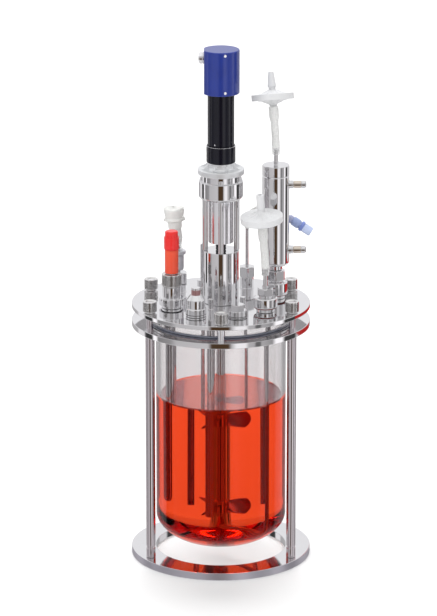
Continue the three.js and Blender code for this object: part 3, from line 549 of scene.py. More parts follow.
# Sample line: the free hose and its connector --------------

HOSE_ROUTE = [
    (0, 0, 0.3), (0, 0, 3), (0, 0, 6), (0.1, 0, 9), (1, -0.2, 14.2), (3.7, -0.7, 19.8),
    (8.1, -1.6, 24.2), (13.5, -2.7, 27), (19.6, -3.9, 28), (25.1, -5, 27.6),
    (30.4, -6.1, 26.5), (35.6, -7.1, 24.5), (39.8, -8, 22.3), (44.4, -8.9, 19.5),
    (49, -9.8, 16.7),
]
HOSE_ROUTE_END = np.array(HOSE_ROUTE[-1]) - np.array(HOSE_ROUTE[-2])


def line_connector(start, along):
    """A coupling in line with the hose: wide tail, notched lock, waist, rim and clear sleeve."""
    place = {"at": start, "axis": along}
    tail = rod([(3.4, 1.2), (4.7, 1.2), (4.7, 3.6), (4.2, 1)], 0.3, 0.4, **place)

    def notched(turn, radius, level):
        lug = np.maximum(0, np.cos(2 * turn)) ** 6
        window = (level > 8.5) & (level < 14.0)
        return radius - 1.1 * lug * window, level

    steps = [(5.0, 1.2), (5.8, 1.0), (5.8, 6.8), (5.2, 1.0), (4.8, 2.0)]
    lock = rod(steps, 6.8, 0.4, form=notched, finishes=1, **place)
    rim = rod([(6.4, 3.2), (5.4, 0.8)], 18.6, 0.5, finishes=3, **place)
    sleeve = rod([(5.6, 10.6), (4.6, 0.6)], 22.6, 0.5, finishes=2, **place)
    finishes = ["lilac_shell", "blue_lock", "clear_sleeve", "blue_band"]
    return piece("sample_coupling", [tail, lock, rim, sleeve], finishes, "sample_connector")


def sample_line():
    """The free hose: straight up off the pipe, over in one arc and down to its coupling."""
    start = np.array([*middle("sample_pipe"), levels("sample_pipe")[1]])
    path = through(start + np.array(HOSE_ROUTE), 40)
    hose = piece("sample_tube", sweep(path, 2.55, around=20), "silicone_wall", "sample_hose")
    coupling = line_connector(path[-1], HOSE_ROUTE_END)


sample_line()


# Stand -----------------------------------------------------


def stand():
    """The ring on the bench, the ring under the glass flange and what stands between."""
    outer, top = reach("base_ring"), levels("base_ring")[1]
    section = rounded([(79, 0), (outer, 0), (outer, top), (79, top)], 0.7, closed=True)
    # Faces on the outer edge take the rougher steel with the painted darker tone.
    middles = (section[:, 0] + np.roll(section[:, 0], -1)) / 2
    edge = (middles > outer - 0.2).astype(int)
    shape = lathe(section, closed=True, around=240, finishes=edge)
    piece("foot_ring", shape, ["mirror_steel", "edge_steel_painted_shade"], "base_ring")
    clamp = ring(80.5, reach("clamp_ring"), *levels("clamp_ring"), 0.6, around=240)
    piece("glass_clamp", clamp, "mirror_steel", "clamp_ring")
    shoulder = levels("clamp_ring")[0] - SEAT
    groove, upper = 21, 24
    for side in ("left", "right", "rear"):
        node = "post_" + side
        low, high = levels(node)
        steps = [(5.65, groove - low), (5.0, upper - groove)]
        steps += [(5.65, shoulder - upper), (4.0, high - shoulder)]
        shape = rod(steps, low, 0.5, at=(*middle(node), 0), around=64)
        piece("upright_" + side, shape, "post_steel", node)
    for side in ("front", "rear_left", "rear_right"):
        node = "stud_" + side
        piece("short_stud_" + side, bar(node, 4.0, 0.5), "satin_steel", node)


def knurled(corners, low, high, teeth, lean, **how):
    """A nut with crossed knurling between two levels. Its profile has evenly spaced rows
    there, and the radius drops in the grooves of two sets of helices, cos(teeth u + lean z)
    and cos(teeth u - lean z)."""
    profile = rounded(corners, 0.5, closed=True)
    widest = max(c[0] for c in corners)
    on_edge = np.abs(profile[:, 0] - widest) < 1e-6
    after = np.flatnonzero(on_edge & (profile[:, 1] <= low + 1e-6))[0] + 1
    kept = ~(on_edge & (profile[:, 1] > low) & (profile[:, 1] < high))
    rows = np.stack([np.full(22, widest), np.linspace(low, high, 22)], 1)
    profile = np.concatenate([profile[:after], rows, profile[after:][kept[after:]]])

    def form(turn, radius, level):
        right = np.cos(teeth * turn + lean * level)
        left = np.cos(teeth * turn - lean * level)
        groove = 1 - 0.5 * (np.abs(right) + np.abs(left))
        zone = (level > low + 0.1) & (level < high - 0.1)
        return radius - 0.35 * groove * zone, level

    return lathe(profile, closed=True, form=form, **how)


def head_nuts():
    """Six nuts, each on its own body."""
    for side in ("front", "front_right", "rear_right", "rear", "rear_left", "front_left"):
        node = "head_nut_" + side
        foot, top = levels(node)
        neck = [(4.3, foot), (6.4, foot), (6.4, foot + 1.6)]
        head = [(8.2, foot + 1.6), (8.2, top), (5.4, top), (4.3, top - 1.2)]
        at = (*middle(node), 0)
        shape = knurled(neck + head, foot + 2.6, top - 1.0, 28, 3.4, at=at, around=168)
        piece("knurled_nut_" + side, shape, "knurled_steel", node, node, sharp=60)


stand()
head_nuts()


# Vessel ----------------------------------------------------


def dish(radius, bottom, height, steps=28):
    """Half of a dished end from the axis to the wall: an ellipse."""
    turn = np.linspace(0, math.pi / 2, steps)
    return np.stack([radius * np.sin(turn), bottom + height * (1 - np.cos(turn))], 1)


def vessel():
    """Flanged glass: its outer wall up, its inner wall down. Below the liquid's level the
    outer wall bends light as the liquid would, and the inner wall lets it straight on."""
    outside = dish(GLASS_OUTER, VESSEL_BOTTOM, 38)
    flange_foot, flange_outer = 299.2, 87
    corners = [
        (GLASS_OUTER, SURFACE_LEVEL, 0.1), (GLASS_OUTER, flange_foot, 2.2),
        (flange_outer, flange_foot, 1.2), (flange_outer, FLANGE_TOP, 1.5),
        (GLASS_INNER, FLANGE_TOP, 0.8), (GLASS_INNER, SURFACE_LEVEL + 1.2),
    ]
    flange = rounded(corners, steps=6)
    inside = dish(GLASS_INNER, FLOOR_LEVEL, 33)[::-1]
    profile = np.concatenate([outside, flange, inside])
    wet = np.zeros(len(profile) - 1, int)
    wet[: len(outside)] = 1
    wet[len(outside) + len(flange) - 1 :] = 2
    shape = lathe(profile, around=192, finishes=wet)
    piece("glass_jar", shape, ["vessel_glass_painted_grey", "wetted_glass", "wetted_wall"], "glass_vessel")


def liquid():
    """The medium up to its level, with a meniscus that creeps up the glass."""
    wall = GLASS_INNER - 0.05
    rise = 1.1
    bottom = dish(wall, FLOOR_LEVEL + 0.05, 32.95)
    creep = np.linspace(0, 1, 10)[:, None]
    meniscus = np.concatenate([wall - 4.5 * creep, SURFACE_LEVEL + rise * (1 - creep) ** 3], 1)
    level = np.stack([np.linspace(68.5, 0, 12), np.full(12, SURFACE_LEVEL)], 1)
    profile = np.concatenate([bottom, meniscus, level])
    open_surface = np.zeros(len(profile) - 1, int)
    open_surface[len(bottom) :] = 1
    shape = lathe(profile, around=192, finishes=open_surface)
    piece("liquid", shape, ["medium_side", "medium_surface"], "culture_medium")


def flange_seals():
    """The gasket under the glass flange and the seal on it."""
    # The gasket's pale tone is painted light: the real rubber is black.
    seal = ring(81.2, 86.6, *levels("flange_gasket"), around=192)
    piece("gasket_ring", seal, "dark_seal", "flange_gasket")
    seal = ring(74.6, 81.4, *levels("head_seal"), around=192)
    piece("lid_seal", seal, "grey_seal", "head_seal")


vessel()
liquid()
flange_seals()


# Head plate ------------------------------------------------


def head_plate():
    """The lid with its welded bosses, the closed pipe down into the liquid and two stubs."""
    shells = [rod([(reach("head_plate"), 5)], PLATE_TOP - 5, 0.6, around=240)]
    welds = [("sample_pipe", 8.0, 14.0), ("vent_stem", 9.5, 8.2), ("dip_tube", 6.5, 9.0)]
    for node, radius, height in welds:
        steps = [(radius + 0.8, 0.8 + 1), (radius, height - 0.8)]
        shells.append(rod(steps, PLATE_TOP - 1, 0.5, at=(*middle(node), 0), around=64))
    well = facing(251, STUB_CIRCLE)
    steps = [(4.8, SURFACE_LEVEL - WELL_FOOT), (4.8, PLATE_TOP - 4 - SURFACE_LEVEL)]
    shells.append(dipped(rod(steps, WELL_FOOT, 2.5, at=well, around=48)))
    stub = [(4.0, 2), (3.2, 12)]
    shells.append(rod([*stub, (2.2, 1)], PLATE_TOP - 1, 0.4, at=well, around=48))
    blind = facing(316, STUB_CIRCLE)
    shells.append(rod(stub, PLATE_TOP - 1, 0.4, at=blind, around=48))
    piece("lid", shells, DIPPED, "head_plate")


head_plate()


# Agitator and drive ----------------------------------------

BLADE = {"reach": 29, "root": 4, "width": 24, "thick": 1.8, "pitch": 40, "twist": 12}


def spun(x, y, z, turn):
    """A fin turned about the main axis: loops of points, closed at both ends."""
    c, s = math.cos(turn), math.sin(turn)
    points = np.stack([x * c - y * s, x * s + y * c, z], -1)
    middles = points.mean(1, keepdims=True)
    root, tip = (np.repeat(m, x.shape[1], 1) for m in (middles[:1], middles[-1:]))
    return grid(np.concatenate([root, points, tip]))


def blade(turned_by, level):
    """One pitched blade: a loop round its section, carried from root to tip. Its width grows
    with the square root of the length, its tip's corners fall back with the square of the
    way across, and its angle eases from root to tip."""
    share = np.linspace(0, 1, 26)[:, None]
    turn = np.linspace(0, FULL_TURN, 64, endpoint=False)[None, :]
    across = np.cos(turn)
    width = BLADE["width"] * (0.42 + 0.58 * np.sqrt(share))
    thick = BLADE["thick"] / 2 * np.sign(np.sin(turn)) * np.abs(np.sin(turn)) ** 0.35
    length = BLADE["reach"] - BLADE["root"]
    x = BLADE["root"] + length * share * (1 - 0.22 * across**2)
    y = width / 2 * across
    z = np.broadcast_to(thick, y.shape)
    angle = np.radians(BLADE["pitch"] + BLADE["twist"] * (1 - share))
    y, z = y * np.cos(angle) - z * np.sin(angle), y * np.sin(angle) + z * np.cos(angle)
    return spun(x, y, z + level, turned_by)


def agitator():
    """All that turns: shaft, two impellers, ribbed coupling and sleeve."""
    low, high = levels("drive_shaft")
    steps = [(4.5, SURFACE_LEVEL - low), (4.5, high - SURFACE_LEVEL)]
    bar = dipped(rod(steps, low, 0.8, around=64))
    piece("shaft", bar, DIPPED, "drive_shaft", "agitator")
    for which in ("upper", "lower"):
        node = "impeller_" + which
        low, high = levels(node)
        level = (low + high) / 2
        hub = ring(4.8, 8, level - 8, level + 8, 1.0, around=72)
        screw = rod([(2.2, 1.2)], 7.4, 0.3, at=(0, 0, level + 4), axis=(0.5, -0.87, 0), around=24)
        shells = [hub, screw] + [blade(k * FULL_TURN / 3, level) for k in range(3)]
        piece("pitched_blades_" + which, shells, "immersed_steel", node, "agitator", sharp=50)
    low, high = levels("drive_coupling")
    pitch = (high - low) / 3
    corners = [(4.8, low), (5.4, low)]
    for k in range(3):
        foot = low + k * pitch
        corners += [(6.2, foot + 0.25 * pitch), (6.2, foot + 0.75 * pitch), (5.2, foot + pitch)]
    corners += [(0, high), (0, high - 2.7), (4.8, high - 2.7)]
    bellows = turned(corners, around=64)
    piece("ribbed_coupling", bellows, "black_rubber", "drive_coupling", "agitator")
    low, high = levels("drive_sleeve")
    wide = 53.7
    steps = [(15.0, wide), (4.0, high - low - wide)]
    piece("sleeve", rod(steps, low, 0.8, around=120), "satin_steel", "drive_sleeve", "agitator")


def drive_column():
    """The housing and rods on the plate, then collar, motor foot, gearbox and barrel."""
    low, high = levels("bearing_housing")
    corners = [
        (11, low), (14, low), (14, PLATE_TOP + 0.3), (21.4, PLATE_TOP + 0.3), (21.4, high),
        (5, high), (5, high - 7), (11, high - 7),
    ]
    shape = turned(corners, 0.7, around=160)
    piece("housing", shape, "mirror_steel", "bearing_housing")
    low, high = levels("shaft_bearing")
    piece("bearing", ring(4.8, 10.7, low, high, around=64), "satin_steel", "shaft_bearing")
    for side in ("right", "rear", "left", "front"):
        node = "tie_rod_" + side
        piece("rod_" + side, bar(node, 3.35, 0.4), "mirror_steel", node)

    low, high = levels("drive_collar")
    shoulder = low + 22
    corners = [
        (4.5, low), (23.5, low), (26.5, low + 3), (26.5, shoulder), (23.6, shoulder),
        (23.6, high), (4.5, high),
    ]
    shells = [turned(corners, 0.9, around=160)]
    for k in range(4):
        at = facing(90 * k, 21.6)
        shells.append(rod([(3.2, 4.4), (2.6, 0.4)], shoulder - 0.2, 0.4, at=at, around=32))
    piece("collar", shells, "mirror_steel", "drive_collar")

    low, high = levels("motor_flange")
    disc = low + 7
    corners = [
        (4.5, low), (27.8, low, 1.2), (27.8, disc, 1.6), (16.5, disc, 2.2), (16.5, high),
        (4.5, high),
    ]
    shells = [turned(corners, 0.8, around=128)]
    shells += [flange_rib(k, disc) for k in range(8)]
    piece("motor_foot", shells, "cast_aluminium", "motor_flange")

    low, high = levels("motor_gearbox")
    seam = low + 20
    body = rod([(17.35, 20.0), (16.4, 0.6)], low, 0.5, around=128)
    shells = [body, ring(15.0, 17.5, seam - 0.4, seam, 0.15, around=128, finishes=1)]
    piece("gearbox", shells, ["black_anodised", "satin_steel"], "motor_gearbox")
    low, high = levels("motor_barrel")
    shells = [rod([(15.9, high - low)], low, 0.4, around=128)]
    for degrees in (-117, 63):
        how = {"at": (0, 0, low + 2.4), "axis": facing(degrees), "around": 20, "finishes": 1}
        shells.append(rod([(0.9, 0.9), (0.6, 0.2)], 15.4, 0.2, **how))
    piece("barrel", shells, ["black_anodised", "satin_steel"], "motor_barrel")


def flange_rib(number, level):
    """A cast rib: a thin upright fin, high at the hub and falling to the disc's edge."""
    turn = math.radians(45 * number + 22.5)
    along = np.linspace(15.8, 25.6, 10)[:, None]
    height = 6.4 * ((25.9 - along) / 10.1) ** 1.3 + 0.2
    loop = np.array([[-1.2, -0.5], [1.2, -0.5], [1.05, 0.75], [0.55, 1], [-0.55, 1], [-1.05, 0.75]])
    y = np.broadcast_to(loop[None, :, 0], (10, 6))
    z = np.where(loop[None, :, 1] < 0, level - 0.5, level + loop[None, :, 1] * height)
    return spun(np.broadcast_to(along, y.shape), y, z, turn)


def motor_cap():
    """A drum with one flat: its radius is held to the flat's distance over cos u."""
    low, high = levels("motor_cap")
    corners = [(0, low), (22.2, low, 1.2), (22.2, high, 1.6), (0, high)]

    def flat(turn, radius, level):
        reach = 20.2 / np.maximum(-np.cos(turn), 1e-3)
        return radius * np.minimum(1, reach / 22.2), level

    drum = lathe(rounded(corners, steps=6), around=240, form=flat)
    how = {"axis": facing(-77), "around": 24, "finishes": 1}
    screws = [
        rod([(1.7, 1.3), (1.2, 0.2)], 21.5, 0.3, at=(0, 0, level), **how)
        for level in (low + 4.4, high - 3.6)
    ]
    piece("drive_cap", [drum, *screws], ["blue_enamel", "satin_steel"], "motor_cap")
    cable_socket()


def cable_socket():
    """The round connector on the cap: a stepped barrel, a dark well, a rim and five pins."""
    low, high = span("cap_connector")
    centre = (low + high) / 2
    at = np.array([high[0] + 0.3, centre[1], centre[2]])
    left = {"axis": (-1, 0, 0)}
    barrel = rod([(7.0, 1.4), (6.4, 0.6), (7.0, 3.2)], 0, 0.4, at=at, around=64, **left)
    rim = ring(4.6, 5.6, 4.6, 6.4, 0.3, at=at, around=48, **left)
    pins = [
        rod([(0.6, 1.6)], 5, 0.2, at=at + (0, y, z), around=12, **left)
        for y, z in ((2, 2), (-2, 2), (2, -2), (-2, -2), (0, 0))
    ]
    well = rod([(4.6, 0.4)], 5.2, 0.1, at=at, around=32, finishes=1, **left)
    finishes = ["satin_steel", "black_rubber"]
    piece("cable_socket", [barrel, rim, *pins, well], finishes, "cap_connector")


agitator()
drive_column()
motor_cap()


# Ports on the plate ----------------------------------------


def hexagon(apothem, low, high):
    """Flats between two levels: the radius is held to apothem / cos(u from the flat)."""

    def form(turn, radius, level):
        from_flat = (turn + math.pi / 6) % (math.pi / 3) - math.pi / 6
        zone = (level > low) & (level < high)
        return np.where(zone, np.minimum(radius, apothem / np.cos(from_flat)), radius), level

    return form


def sensor_port():
    """A hexagon socket, its knurled nut, the probe with its orange head and a red cap."""
    at = on_plate("sensor_adapter")
    steps = [(8.6, 7.3), (12.3, 2.9), (11.8, 0.6), (15.0, 8.2), (13.8, 0.5), (10.8, 13.6)]
    body = rod(steps, -7, 0.5, at=at, around=144, form=hexagon(9.5, 14.2, 25.2))
    piece("sensor_socket", body, "mirror_steel", "sensor_adapter", sharp=28)
    seal = o_ring(12.5, 3.5, 0.45, at=at, around=96)
    piece("sensor_o_ring", seal, "black_rubber")
    foot, top = levels("sensor_nut")
    corners = [(6.3, foot), (10.6, foot), (11.9, foot + 1.2), (11.9, top), (6.3, top)]
    nut = knurled(corners, foot + 1.8, top - 1.2, 36, 3.0, at=(*at[:2], 0), around=240)
    piece("sensor_gland_nut", nut, "knurled_steel", "sensor_nut", "sensor_nut", sharp=60)

    low, high = levels("ph_sensor")
    shoulder = high - 29
    corners = [
        (0, low), (4.4, low + 1.4, 3), (6.0, low + 6, 3), (6.0, SURFACE_LEVEL, 0.1),
        (6.0, shoulder), (8.2, shoulder, 0.8), (8.2, high, 0.8), (0, high),
    ]
    profile = rounded(corners, 0.6)
    orange = (profile[:-1, 1] + profile[1:, 1]) / 2 > shoulder - 0.2
    shape = lathe(profile, at=(*at[:2], 0), around=96, finishes=orange * 2)
    piece("probe", dipped(shape), [*DIPPED, "orange_shell"], "ph_sensor")

    foot = levels("sensor_cap")[0]
    steps = [(8.8, 1.2), (9.0, 5.0), (9.0, 8.8), (8.4, 0.8), (8.0, 1.6), (7.8, 4.4), (6.6, 0.6)]
    shape = rod(steps, foot, 0.7, at=(*at[:2], 0), around=96)
    piece("probe_cap", shape, "red_cap", "sensor_cap", sharp=50)


def small_ports():
    """The septum port with its ribbed copper band, and a hexagon plug."""
    at = on_plate("septum_port")
    corners = [
        (0, -7), (5, -7), (5, 0.3), (12, 0.3), (12, 2.6), (11.4, 2.6), (11.4, 3.1),
        (12.2, 3.1), (12.2, 9.6, 0.8), (11.0, 10.2), (11.0, 20.2, 0.8), (6.6, 26.4),
        (0, 26.4),
    ]
    body = lathe(rounded(corners, 0.4), at=at, around=96)

    def ribbed(turn, radius, level):
        zone = (level > 27) & (level < 31.8) & (radius > 5)
        return radius - 0.45 * (np.cos(20 * turn) < 0) * zone, level

    rows = [(0, 26.2), (5.4, 26.2), (5.4, 27.0), (5.4, 31.8), (5.4, 32.2), (0, 32.2)]
    band = lathe(rounded(rows, 0.15), at=at, around=160, form=ribbed, finishes=1)
    top = rod([(5.3, 2.6)], 32.1, 0.4, at=at, around=64)
    piece("septum", [body, band, top], ["mirror_steel", "copper_ring"], "septum_port", sharp=50)
    piece("septum_o_ring", o_ring(11.9, 2.85, 0.4, at=at), "black_rubber")

    at = on_plate("blank_plug")
    steps = [(5.0, 7.3), (11.0, 1.1), (10.4, 0.6), (11.2, 6.0), (10.6, 0.5)]
    body = rod(steps, -7, 0.4, at=at, around=96)
    head = rod([(8.6, 6.6), (7.6, 0.6)], 8.4, 0.4, at=at, around=96, form=hexagon(7.45, 8, 15))
    piece("plug", [body, head], "mirror_steel", "blank_plug", sharp=28)
    piece("plug_o_ring", o_ring(10.9, 1.7, 0.4, at=at), "black_rubber")


def gland(name, node, radius, pipe):
    """A hexagon nut with turned corners, on its own body."""
    low, high = levels(node)
    height = high - low
    corners = [
        (pipe, 0), (radius - 1.2, 0), (radius, 1.0, 0.1), (radius, height - 1.0, 0.1),
        (radius - 1.4, height, 0.2), (pipe + 0.6, height), (pipe, height - 0.6),
    ]
    flats = hexagon(radius * 0.875, -1, height + 1)
    shape = turned(corners, 0.3, at=(*middle(node), low), around=144, form=flats)
    piece(name, shape, "mirror_steel", node, node, sharp=25)


def gas_port():
    """The gas inlet's socket and nut, and the pipe down to a level run over the dish."""
    at = on_plate("sparger_adapter")
    corners = [
        (2.95, -7), (5, -7), (5, 0.3), (10.6, 0.3), (11.4, 5.0), (14.5, 6.4, 1.5),
        (14.5, 17.3, 1.2), (12.6, 18.1), (7.5, 18.1), (7.5, 20.1), (2.95, 20.1),
    ]
    body = turned(corners, at=at, around=96)
    piece("gas_socket", body, "mirror_steel", "sparger_adapter")
    piece("gas_o_ring", o_ring(13.0, 5.4, 0.5, at=at), "red_rubber")
    gland("gas_gland_nut", "sparger_nut", 10.5, 3.0)
    x, y = middle("sparger_adapter")
    inward = -np.array([x, y]) / np.hypot(x, y)
    radius = 2.65
    level = levels("sparger_pipe")[0] + radius
    top = PLATE_TOP + 51
    bend = [(0, 15), (0.7, 9.2), (3.6, 3.6), (9.2, 0.7), (15, 0)]
    route = [(0, z) for z in np.linspace(top - level, 22, 18)] + bend
    route += [(s, 0) for s in np.linspace(20, 67.8, 8)]
    points = [(x + s * inward[0], y + s * inward[1], level + z) for s, z in route]
    side = (inward[1], -inward[0], 0)
    pipe = sweep(through(points, 120), radius, side=side)
    piece("gas_pipe", dipped(pipe), DIPPED, "sparger_pipe")


HOSE = ["silicone_wall", "thin_silicone"]
HOSE_BORE = 3.45
STRETCHED = 8
FILTER_TAIL = 11.3


def hose_wall(node, low, down, offset, axis, size=4.65, mouth=5.9):
    """A silicone tube that starts upright over a pipe's end and bends to meet what it
    carries: a cubic curve between the two ends, pulled along each end's own direction. Its
    mouth widens, and the length over the pipe is stretched thin and clear."""
    x, y = middle(node)
    start = np.array([x, y, low])
    lean = np.array(axis, float) / np.linalg.norm(axis)
    end = np.array([x, y, PLATE_TOP]) + np.array(offset, float) - lean * down
    pull = (end[2] - start[2]) / 3
    t = np.linspace(0, 1, 40)[:, None]
    a, b = start + np.array([0, 0, pull]), end - lean * pull
    path = start * (1 - t) ** 3 + 3 * a * t * (1 - t) ** 2 + 3 * b * t**2 * (1 - t) + end * t**3
    from_end = np.linalg.norm(path - end, axis=1)
    flare = np.clip((19 - from_end) / 7, 0, 1)
    radius = size + (mouth - size) * flare**2 * (3 - 2 * flare)
    over_pipe = path[:, 2] < low + STRETCHED
    over_pipe = np.concatenate([over_pipe, over_pipe[::-1]]).astype(int)
    return sweep(path, radius, HOSE_BORE, around=32, finishes=over_pipe)


def vent_filter(centre, axis, foot, tip):
    """Two domes on a thick rim with low spokes, a nozzle above, a stepped tail below."""
    corners = [
        (0, -17), (2.0, -17, 0.4), (2.6, -11), (4.2, -11, 0.4), (4.6, -9.4, 0.6),
        (6.0, -8.0, 1.5), (14.0, -4.2, 2), (19.0, -3.8, 0.5), (25.3, -3.8, 0.6),
        (25.3, 0.0, 0.1), (25.3, 3.8, 0.6), (19.0, 3.8, 0.5), (14.0, 4.2, 2),
        (6.0, 8.0, 1.5), (4.2, 9.0, 0.6), (4.2, 11.6, 0.4), (foot, 12.4, 0.5),
        (tip, 30, 0.6), (2.2, 30, 0.3), (1.8, 20, 0.4), (0, 20),
    ]

    def spokes(turn, radius, level):
        zone = (radius > 6) & (radius < 17)
        return radius, level + 0.5 * np.sign(level) * (np.cos(12 * turn) > 0.8) * zone

    return lathe(rounded(corners, 0.5), at=centre, axis=axis, around=240, form=spokes)


def hose_and_filter(name, node, low, offset, axis, foot, tip):
    """The hose on a port's pipe and the round filter it carries."""
    wall = hose_wall(node, low, FILTER_TAIL, offset, axis)
    piece(name + "_tube", wall, HOSE, name + "_hose")
    shape = vent_filter(on_plate(node) + np.array(offset), axis, foot, tip)
    piece(name + "_filter_shell", shape, "milky_shell", name + "_filter")


def condenser():
    """The exhaust's socket and nut, and the jacketed tube with two cooling-water nozzles."""
    at = on_plate("condenser_adapter")
    steps = [(5, 7.3), (11.4, 5.2), (14.5, 14.2), (12.8, 1.0), (7.5, 2.0)]
    body = rod(steps, -7, 0.6, at=at, around=96)
    nut_foot = 22.7
    flats = hexagon(11.0, nut_foot, nut_foot + 20)
    steps = [(10.8, 0.8), (12, 11.0), (10.8, 0.8)]
    nut = rod(steps, nut_foot, 0.3, at=at, around=144, form=flats)
    piece("condenser_socket", [body, nut], "mirror_steel", "condenser_adapter", sharp=28)
    piece("condenser_o_ring", o_ring(13.0, 5.0, 0.5, at=at), "red_rubber")

    low, high = levels("condenser")
    foot = low + 5.9
    corners = [
        (0, foot - 5.9), (8, foot - 5.9), (8, foot), (13.2, foot, 1.0),
        (16.2, foot + 3, 1.6), (16.2, foot + 110.2, 0.1), (15.5, foot + 111, 0.1),
        (16.2, foot + 111.8, 0.1), (16.2, foot + 124, 1.0), (2.65, foot + 124, 0.8),
        (2.65, high), (0, high),
    ]
    shells = [lathe(rounded(corners, 0.5), at=(*at[:2], 0), around=160)]
    # Nozzle finish 1 is the stainless steel with a painted warm reflection.
    nozzle = [
        (14.5, 0.5, 0, [(4.9, 4.4), (4.5, 0.6), (4.9, 1.4)]),
        (20.9, 0.3, 1, [(3.6, 0.8), (4.4, 8.6)]),
        (30.3, 0.3, 0, [(3.9, 0.7), (4.4, 4.2), (3.9, 0.6)]),
        (35.8, 0.3, 2, [(3.4, 0.6)]),
    ]
    for height in (18.5, 99.5):
        how = {"at": (*at[:2], foot + height), "axis": (1, 0, 0), "around": 64}
        for start, size, which, steps in nozzle:
            shells.append(rod(steps, start, size, finishes=which, **how))
    finishes = ["mirror_steel", "steel_painted_warm_reflection", "black_rubber"]
    piece("condenser_body", shells, finishes, "condenser")


def plain_pipes():
    """The sample pipe and the dip tube, open at both ends, and the hexagon nuts by them."""
    pipes = [("sample_tube_pipe", "sample_pipe", 2.0), ("dip_pipe", "dip_tube", 2.5)]
    for name, node, radius in pipes:
        low, high = levels(node)
        inner = radius * 0.65
        rows = [low, SURFACE_LEVEL, high]
        corners = [(radius, z) for z in rows] + [(inner, z) for z in rows[::-1]]
        shape = turned(corners, 0.2, at=(*middle(node), 0), around=32)
        piece(name, dipped(shape), DIPPED, node)
    gland("sample_gland_nut", "sample_nut", 10.0, 2.3)
    gland("vent_gland_nut", "vent_nut", 12.0, 3.0)


def vent():
    """The vent's stem with its stop, its hose and the cap with a wavy top."""
    at = on_plate("vent_stem")
    foot = levels("vent_stem")[0] - PLATE_TOP
    corners = [
        (1.5, foot), (2.7, foot), (2.7, 27.5), (6.4, 27.5), (7.2, 29.5), (7.2, 45.5),
        (6.0, 47.5), (9.5, 47.5, 0.4), (9.5, 51.5, 0.4), (2.7, 51.5), (2.7, 57), (1.5, 57),
    ]
    body = turned(corners, at=at, around=96)
    piece("vent_body", body, "milky_grey", "vent_stem")
    offset = (-3.3, 0, 80)
    axis = (-0.06, 0, 1)
    wall = hose_wall("vent_stem", PLATE_TOP + 51.8, 0.3, offset, axis, size=5.6, mouth=7.4)
    piece("vent_tube", wall, HOSE, "vent_hose")
    corners = [
        (0, -5), (2.6, -5), (2.6, 0), (8.2, 0), (8.8, 8.2, 1.2), (12.0, 9.4, 0.8),
        (12.2, 11.4, 0.8), (10.9, 12.8, 0.8), (11.2, 15, 2), (12.4, 21, 2),
        (12.2, 25.2, 1.6), (0, 25.8),
    ]

    def uneven(turn, radius, level):
        share = np.clip((level - 15) / 11, 0, 1)
        lug = 0.9 * (np.cos(2 * turn) > 0.8) * ((level > 9.5) & (level < 12)) * (radius > 9)
        wave = 0.9 * np.sin(2 * turn + 2.2) + 0.4 * np.sin(5 * turn)
        return radius * (1 + 0.012 * share * np.sin(6 * turn)) + lug, level + share * wave

    section = rounded(corners, 0.6)
    centre = on_plate("vent_stem") + np.array(offset)
    cap = lathe(section, at=centre, axis=axis, around=144, form=uneven)
    piece("vent_cover", cap, "cloudy_shell", "vent_cap", sharp=50)


sensor_port()
small_ports()
gas_port()
place = {"low": PLATE_TOP + 45, "offset": (-4.5, 0.4, 114.5), "axis": (-0.075, -0.085, 1)}
hose_and_filter("inlet", "sparger_adapter", foot=4.9, tip=4.6, **place)
condenser()
top = levels("condenser")[1]
place = {"low": top - 6, "offset": (-4.2, 0, 248.5), "axis": (-0.078, 0.24, 1)}
hose_and_filter("exhaust", "condenser_adapter", foot=5.3, tip=3.3, **place)
plain_pipes()
vent()


# Studio ----------------------------------------------------

# What polished metal sees round it, by the angle from straight ahead, in degrees, and light.
SURROUNDINGS = [
    (-180, 0.45), (-138, 0.50), (-132, 0.95), (-118, 0.95), (-114, 0.05), (-100, 0.05),
    (-97, 1.30), (-92, 1.30), (-89, 0.28), (-68, 0.36), (-60, 0.60), (-17, 0.68),
    (-12, 0.035), (10, 0.035), (14, 0.60), (20, 1.10), (32, 1.10), (36, 0.55), (44, 0.52),
    (46, 0.16), (52, 0.16), (54, 0.50), (70, 0.36), (76, 1.30), (86, 1.30), (91, 0.06),
    (111, 0.06), (117, 0.80), (140, 0.75), (148, 0.42), (180, 0.45),
]


def lit(value):
    """A card's colour: the darkest one, behind the camera, is brown."""
    return (value, value * 0.98, value) if value > 0.04 else (0.085, 0.05, 0.028)


def studio():
    """An even white room for light, with cards that only reflections show."""
    world = bpy.data.worlds.new("studio")
    bpy.context.scene.world = world
    tree = Tree(world)
    toward = tree.add("ShaderNodeTexCoord", {}, output="Generated")
    parts = tree.add("ShaderNodeSeparateXYZ", {}, toward).socket.node
    x, y, z = (Signal(tree, parts.outputs[k]) for k in range(3))
    angle = x.maths("ARCTAN2", y * -1)
    share = angle / FULL_TURN + 0.5
    stops = [((a + 180) / 360, lit(v)) for a, v in SURROUNDINGS]
    cards = tree.ramp(share, stops)
    behind = y.smooth(-0.35, 0.25)
    softened = tree.blend(0.62, cards, (0.62, 0.62, 0.63))
    upper = tree.blend(behind, softened, (0.95, 0.95, 0.97))
    upper = tree.blend(z.smooth(0.45, 0.85), upper, (1.0, 1.0, 1.0))
    seen = tree.blend(z.smooth(-0.04, 0.16), cards, upper)
    seen = tree.blend(z.smooth(-0.62, -0.46), (0.80, 0.80, 0.80), seen)
    mirrored = tree.light("Glossy Depth").above(0.5)
    direct = tree.light("Is Camera Ray")
    passing = tree.light("Is Transmission Ray")
    soft = 0.46 + 0.34 * z.clamped() + 0.50 * (y * -1).clamped()
    even = tree.blend((direct + passing).clamped(), soft, (1.06, 1.06, 1.06))
    colour = tree.blend(mirrored, even, seen)
    tree.show(tree.add("ShaderNodeBackground", {}, colour))


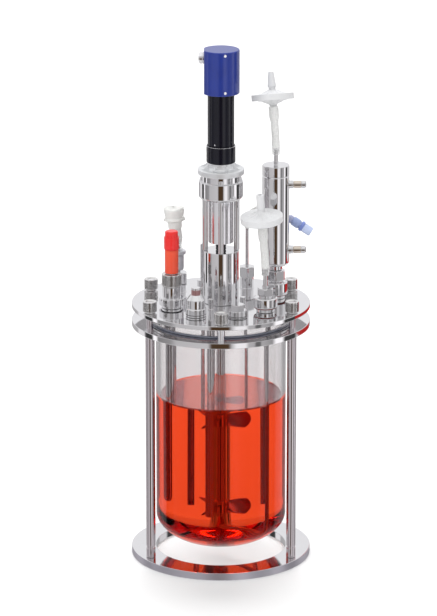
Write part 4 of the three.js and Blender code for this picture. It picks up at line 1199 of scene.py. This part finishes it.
def lamp(name, toward, strength, width):
    """An even lamp far away in one direction; width is the angle it fills, in degrees."""
    data = bpy.data.lights.new(name, "SUN")
    data.energy = strength
    data.angle = math.radians(width)
    obj = bpy.data.objects.new(name, data)
    bpy.context.scene.collection.objects.link(obj)
    obj.rotation_euler = Vector(toward).to_track_quat("Z", "Y").to_euler()
    obj.visible_glossy = False


def vanish_after(depth, surface):
    """Shows a surface only to light that has made no step of the named kind before."""
    tree = surface.tree
    unseen = tree.add("ShaderNodeBsdfTransparent")
    tree.show(tree.mix(tree.light(depth).above(0.5), surface, unseen))


def prop(name, points, faces, material):
    """An object of the studio."""
    mesh = bpy.data.meshes.new(name)
    mesh.from_pydata(points, [], faces)
    mesh.materials.append(material)
    obj = bpy.data.objects.new(name, mesh)
    bpy.context.scene.collection.objects.link(obj)
    return obj


def red_card():
    """A low red card behind and to the right, which only mirrored light meets."""
    material = bpy.data.materials.new("card")
    glow = Tree(material).add("ShaderNodeEmission", {}, (0.50, 0.03, 0.03, 1.0))
    vanish_after("Transmission Depth", glow)
    low, high = 0.165, 0.258
    near, far = (0.50, 0.10), (0.16, 0.48)
    corners = [(*near, low), (*far, low), (*far, high), (*near, high)]
    card = prop("card", corners, [(0, 1, 2, 3)], material)
    card.visible_camera = card.visible_diffuse = card.visible_shadow = False
    card.visible_transmission = False


def bench():
    """The pale floor: a wide flat disc. Polished metal mirrors the cards and not the floor."""
    tree, shader = finish("pale_floor", "", Roughness=0.7)
    drift = tree.noise(3.0, 3.0)
    feed(shader, Base_Color=tree.blend(drift, (0.83, 0.83, 0.83), (0.85, 0.85, 0.85)))
    vanish_after("Glossy Depth", shader)
    shape = lathe(np.array([(6000.0, 0), (3000, 0), (600, 0), (0, 0)]))
    material = FINISHES["pale_floor"][0]
    prop("floor", shape.points * MM, shape.quads.tolist(), material)


studio()
bench()
paths = bpy.context.scene.cycles
paths.transparent_max_bounces = 40
paths.glossy_bounces = 10
paths.max_bounces = 20
lamp("top_and_back", (0.0, 0.46, 1.0), 2.1, 34)
lamp("front", (-0.5, -0.9, 1.1), 0.8, 70)
red_card()
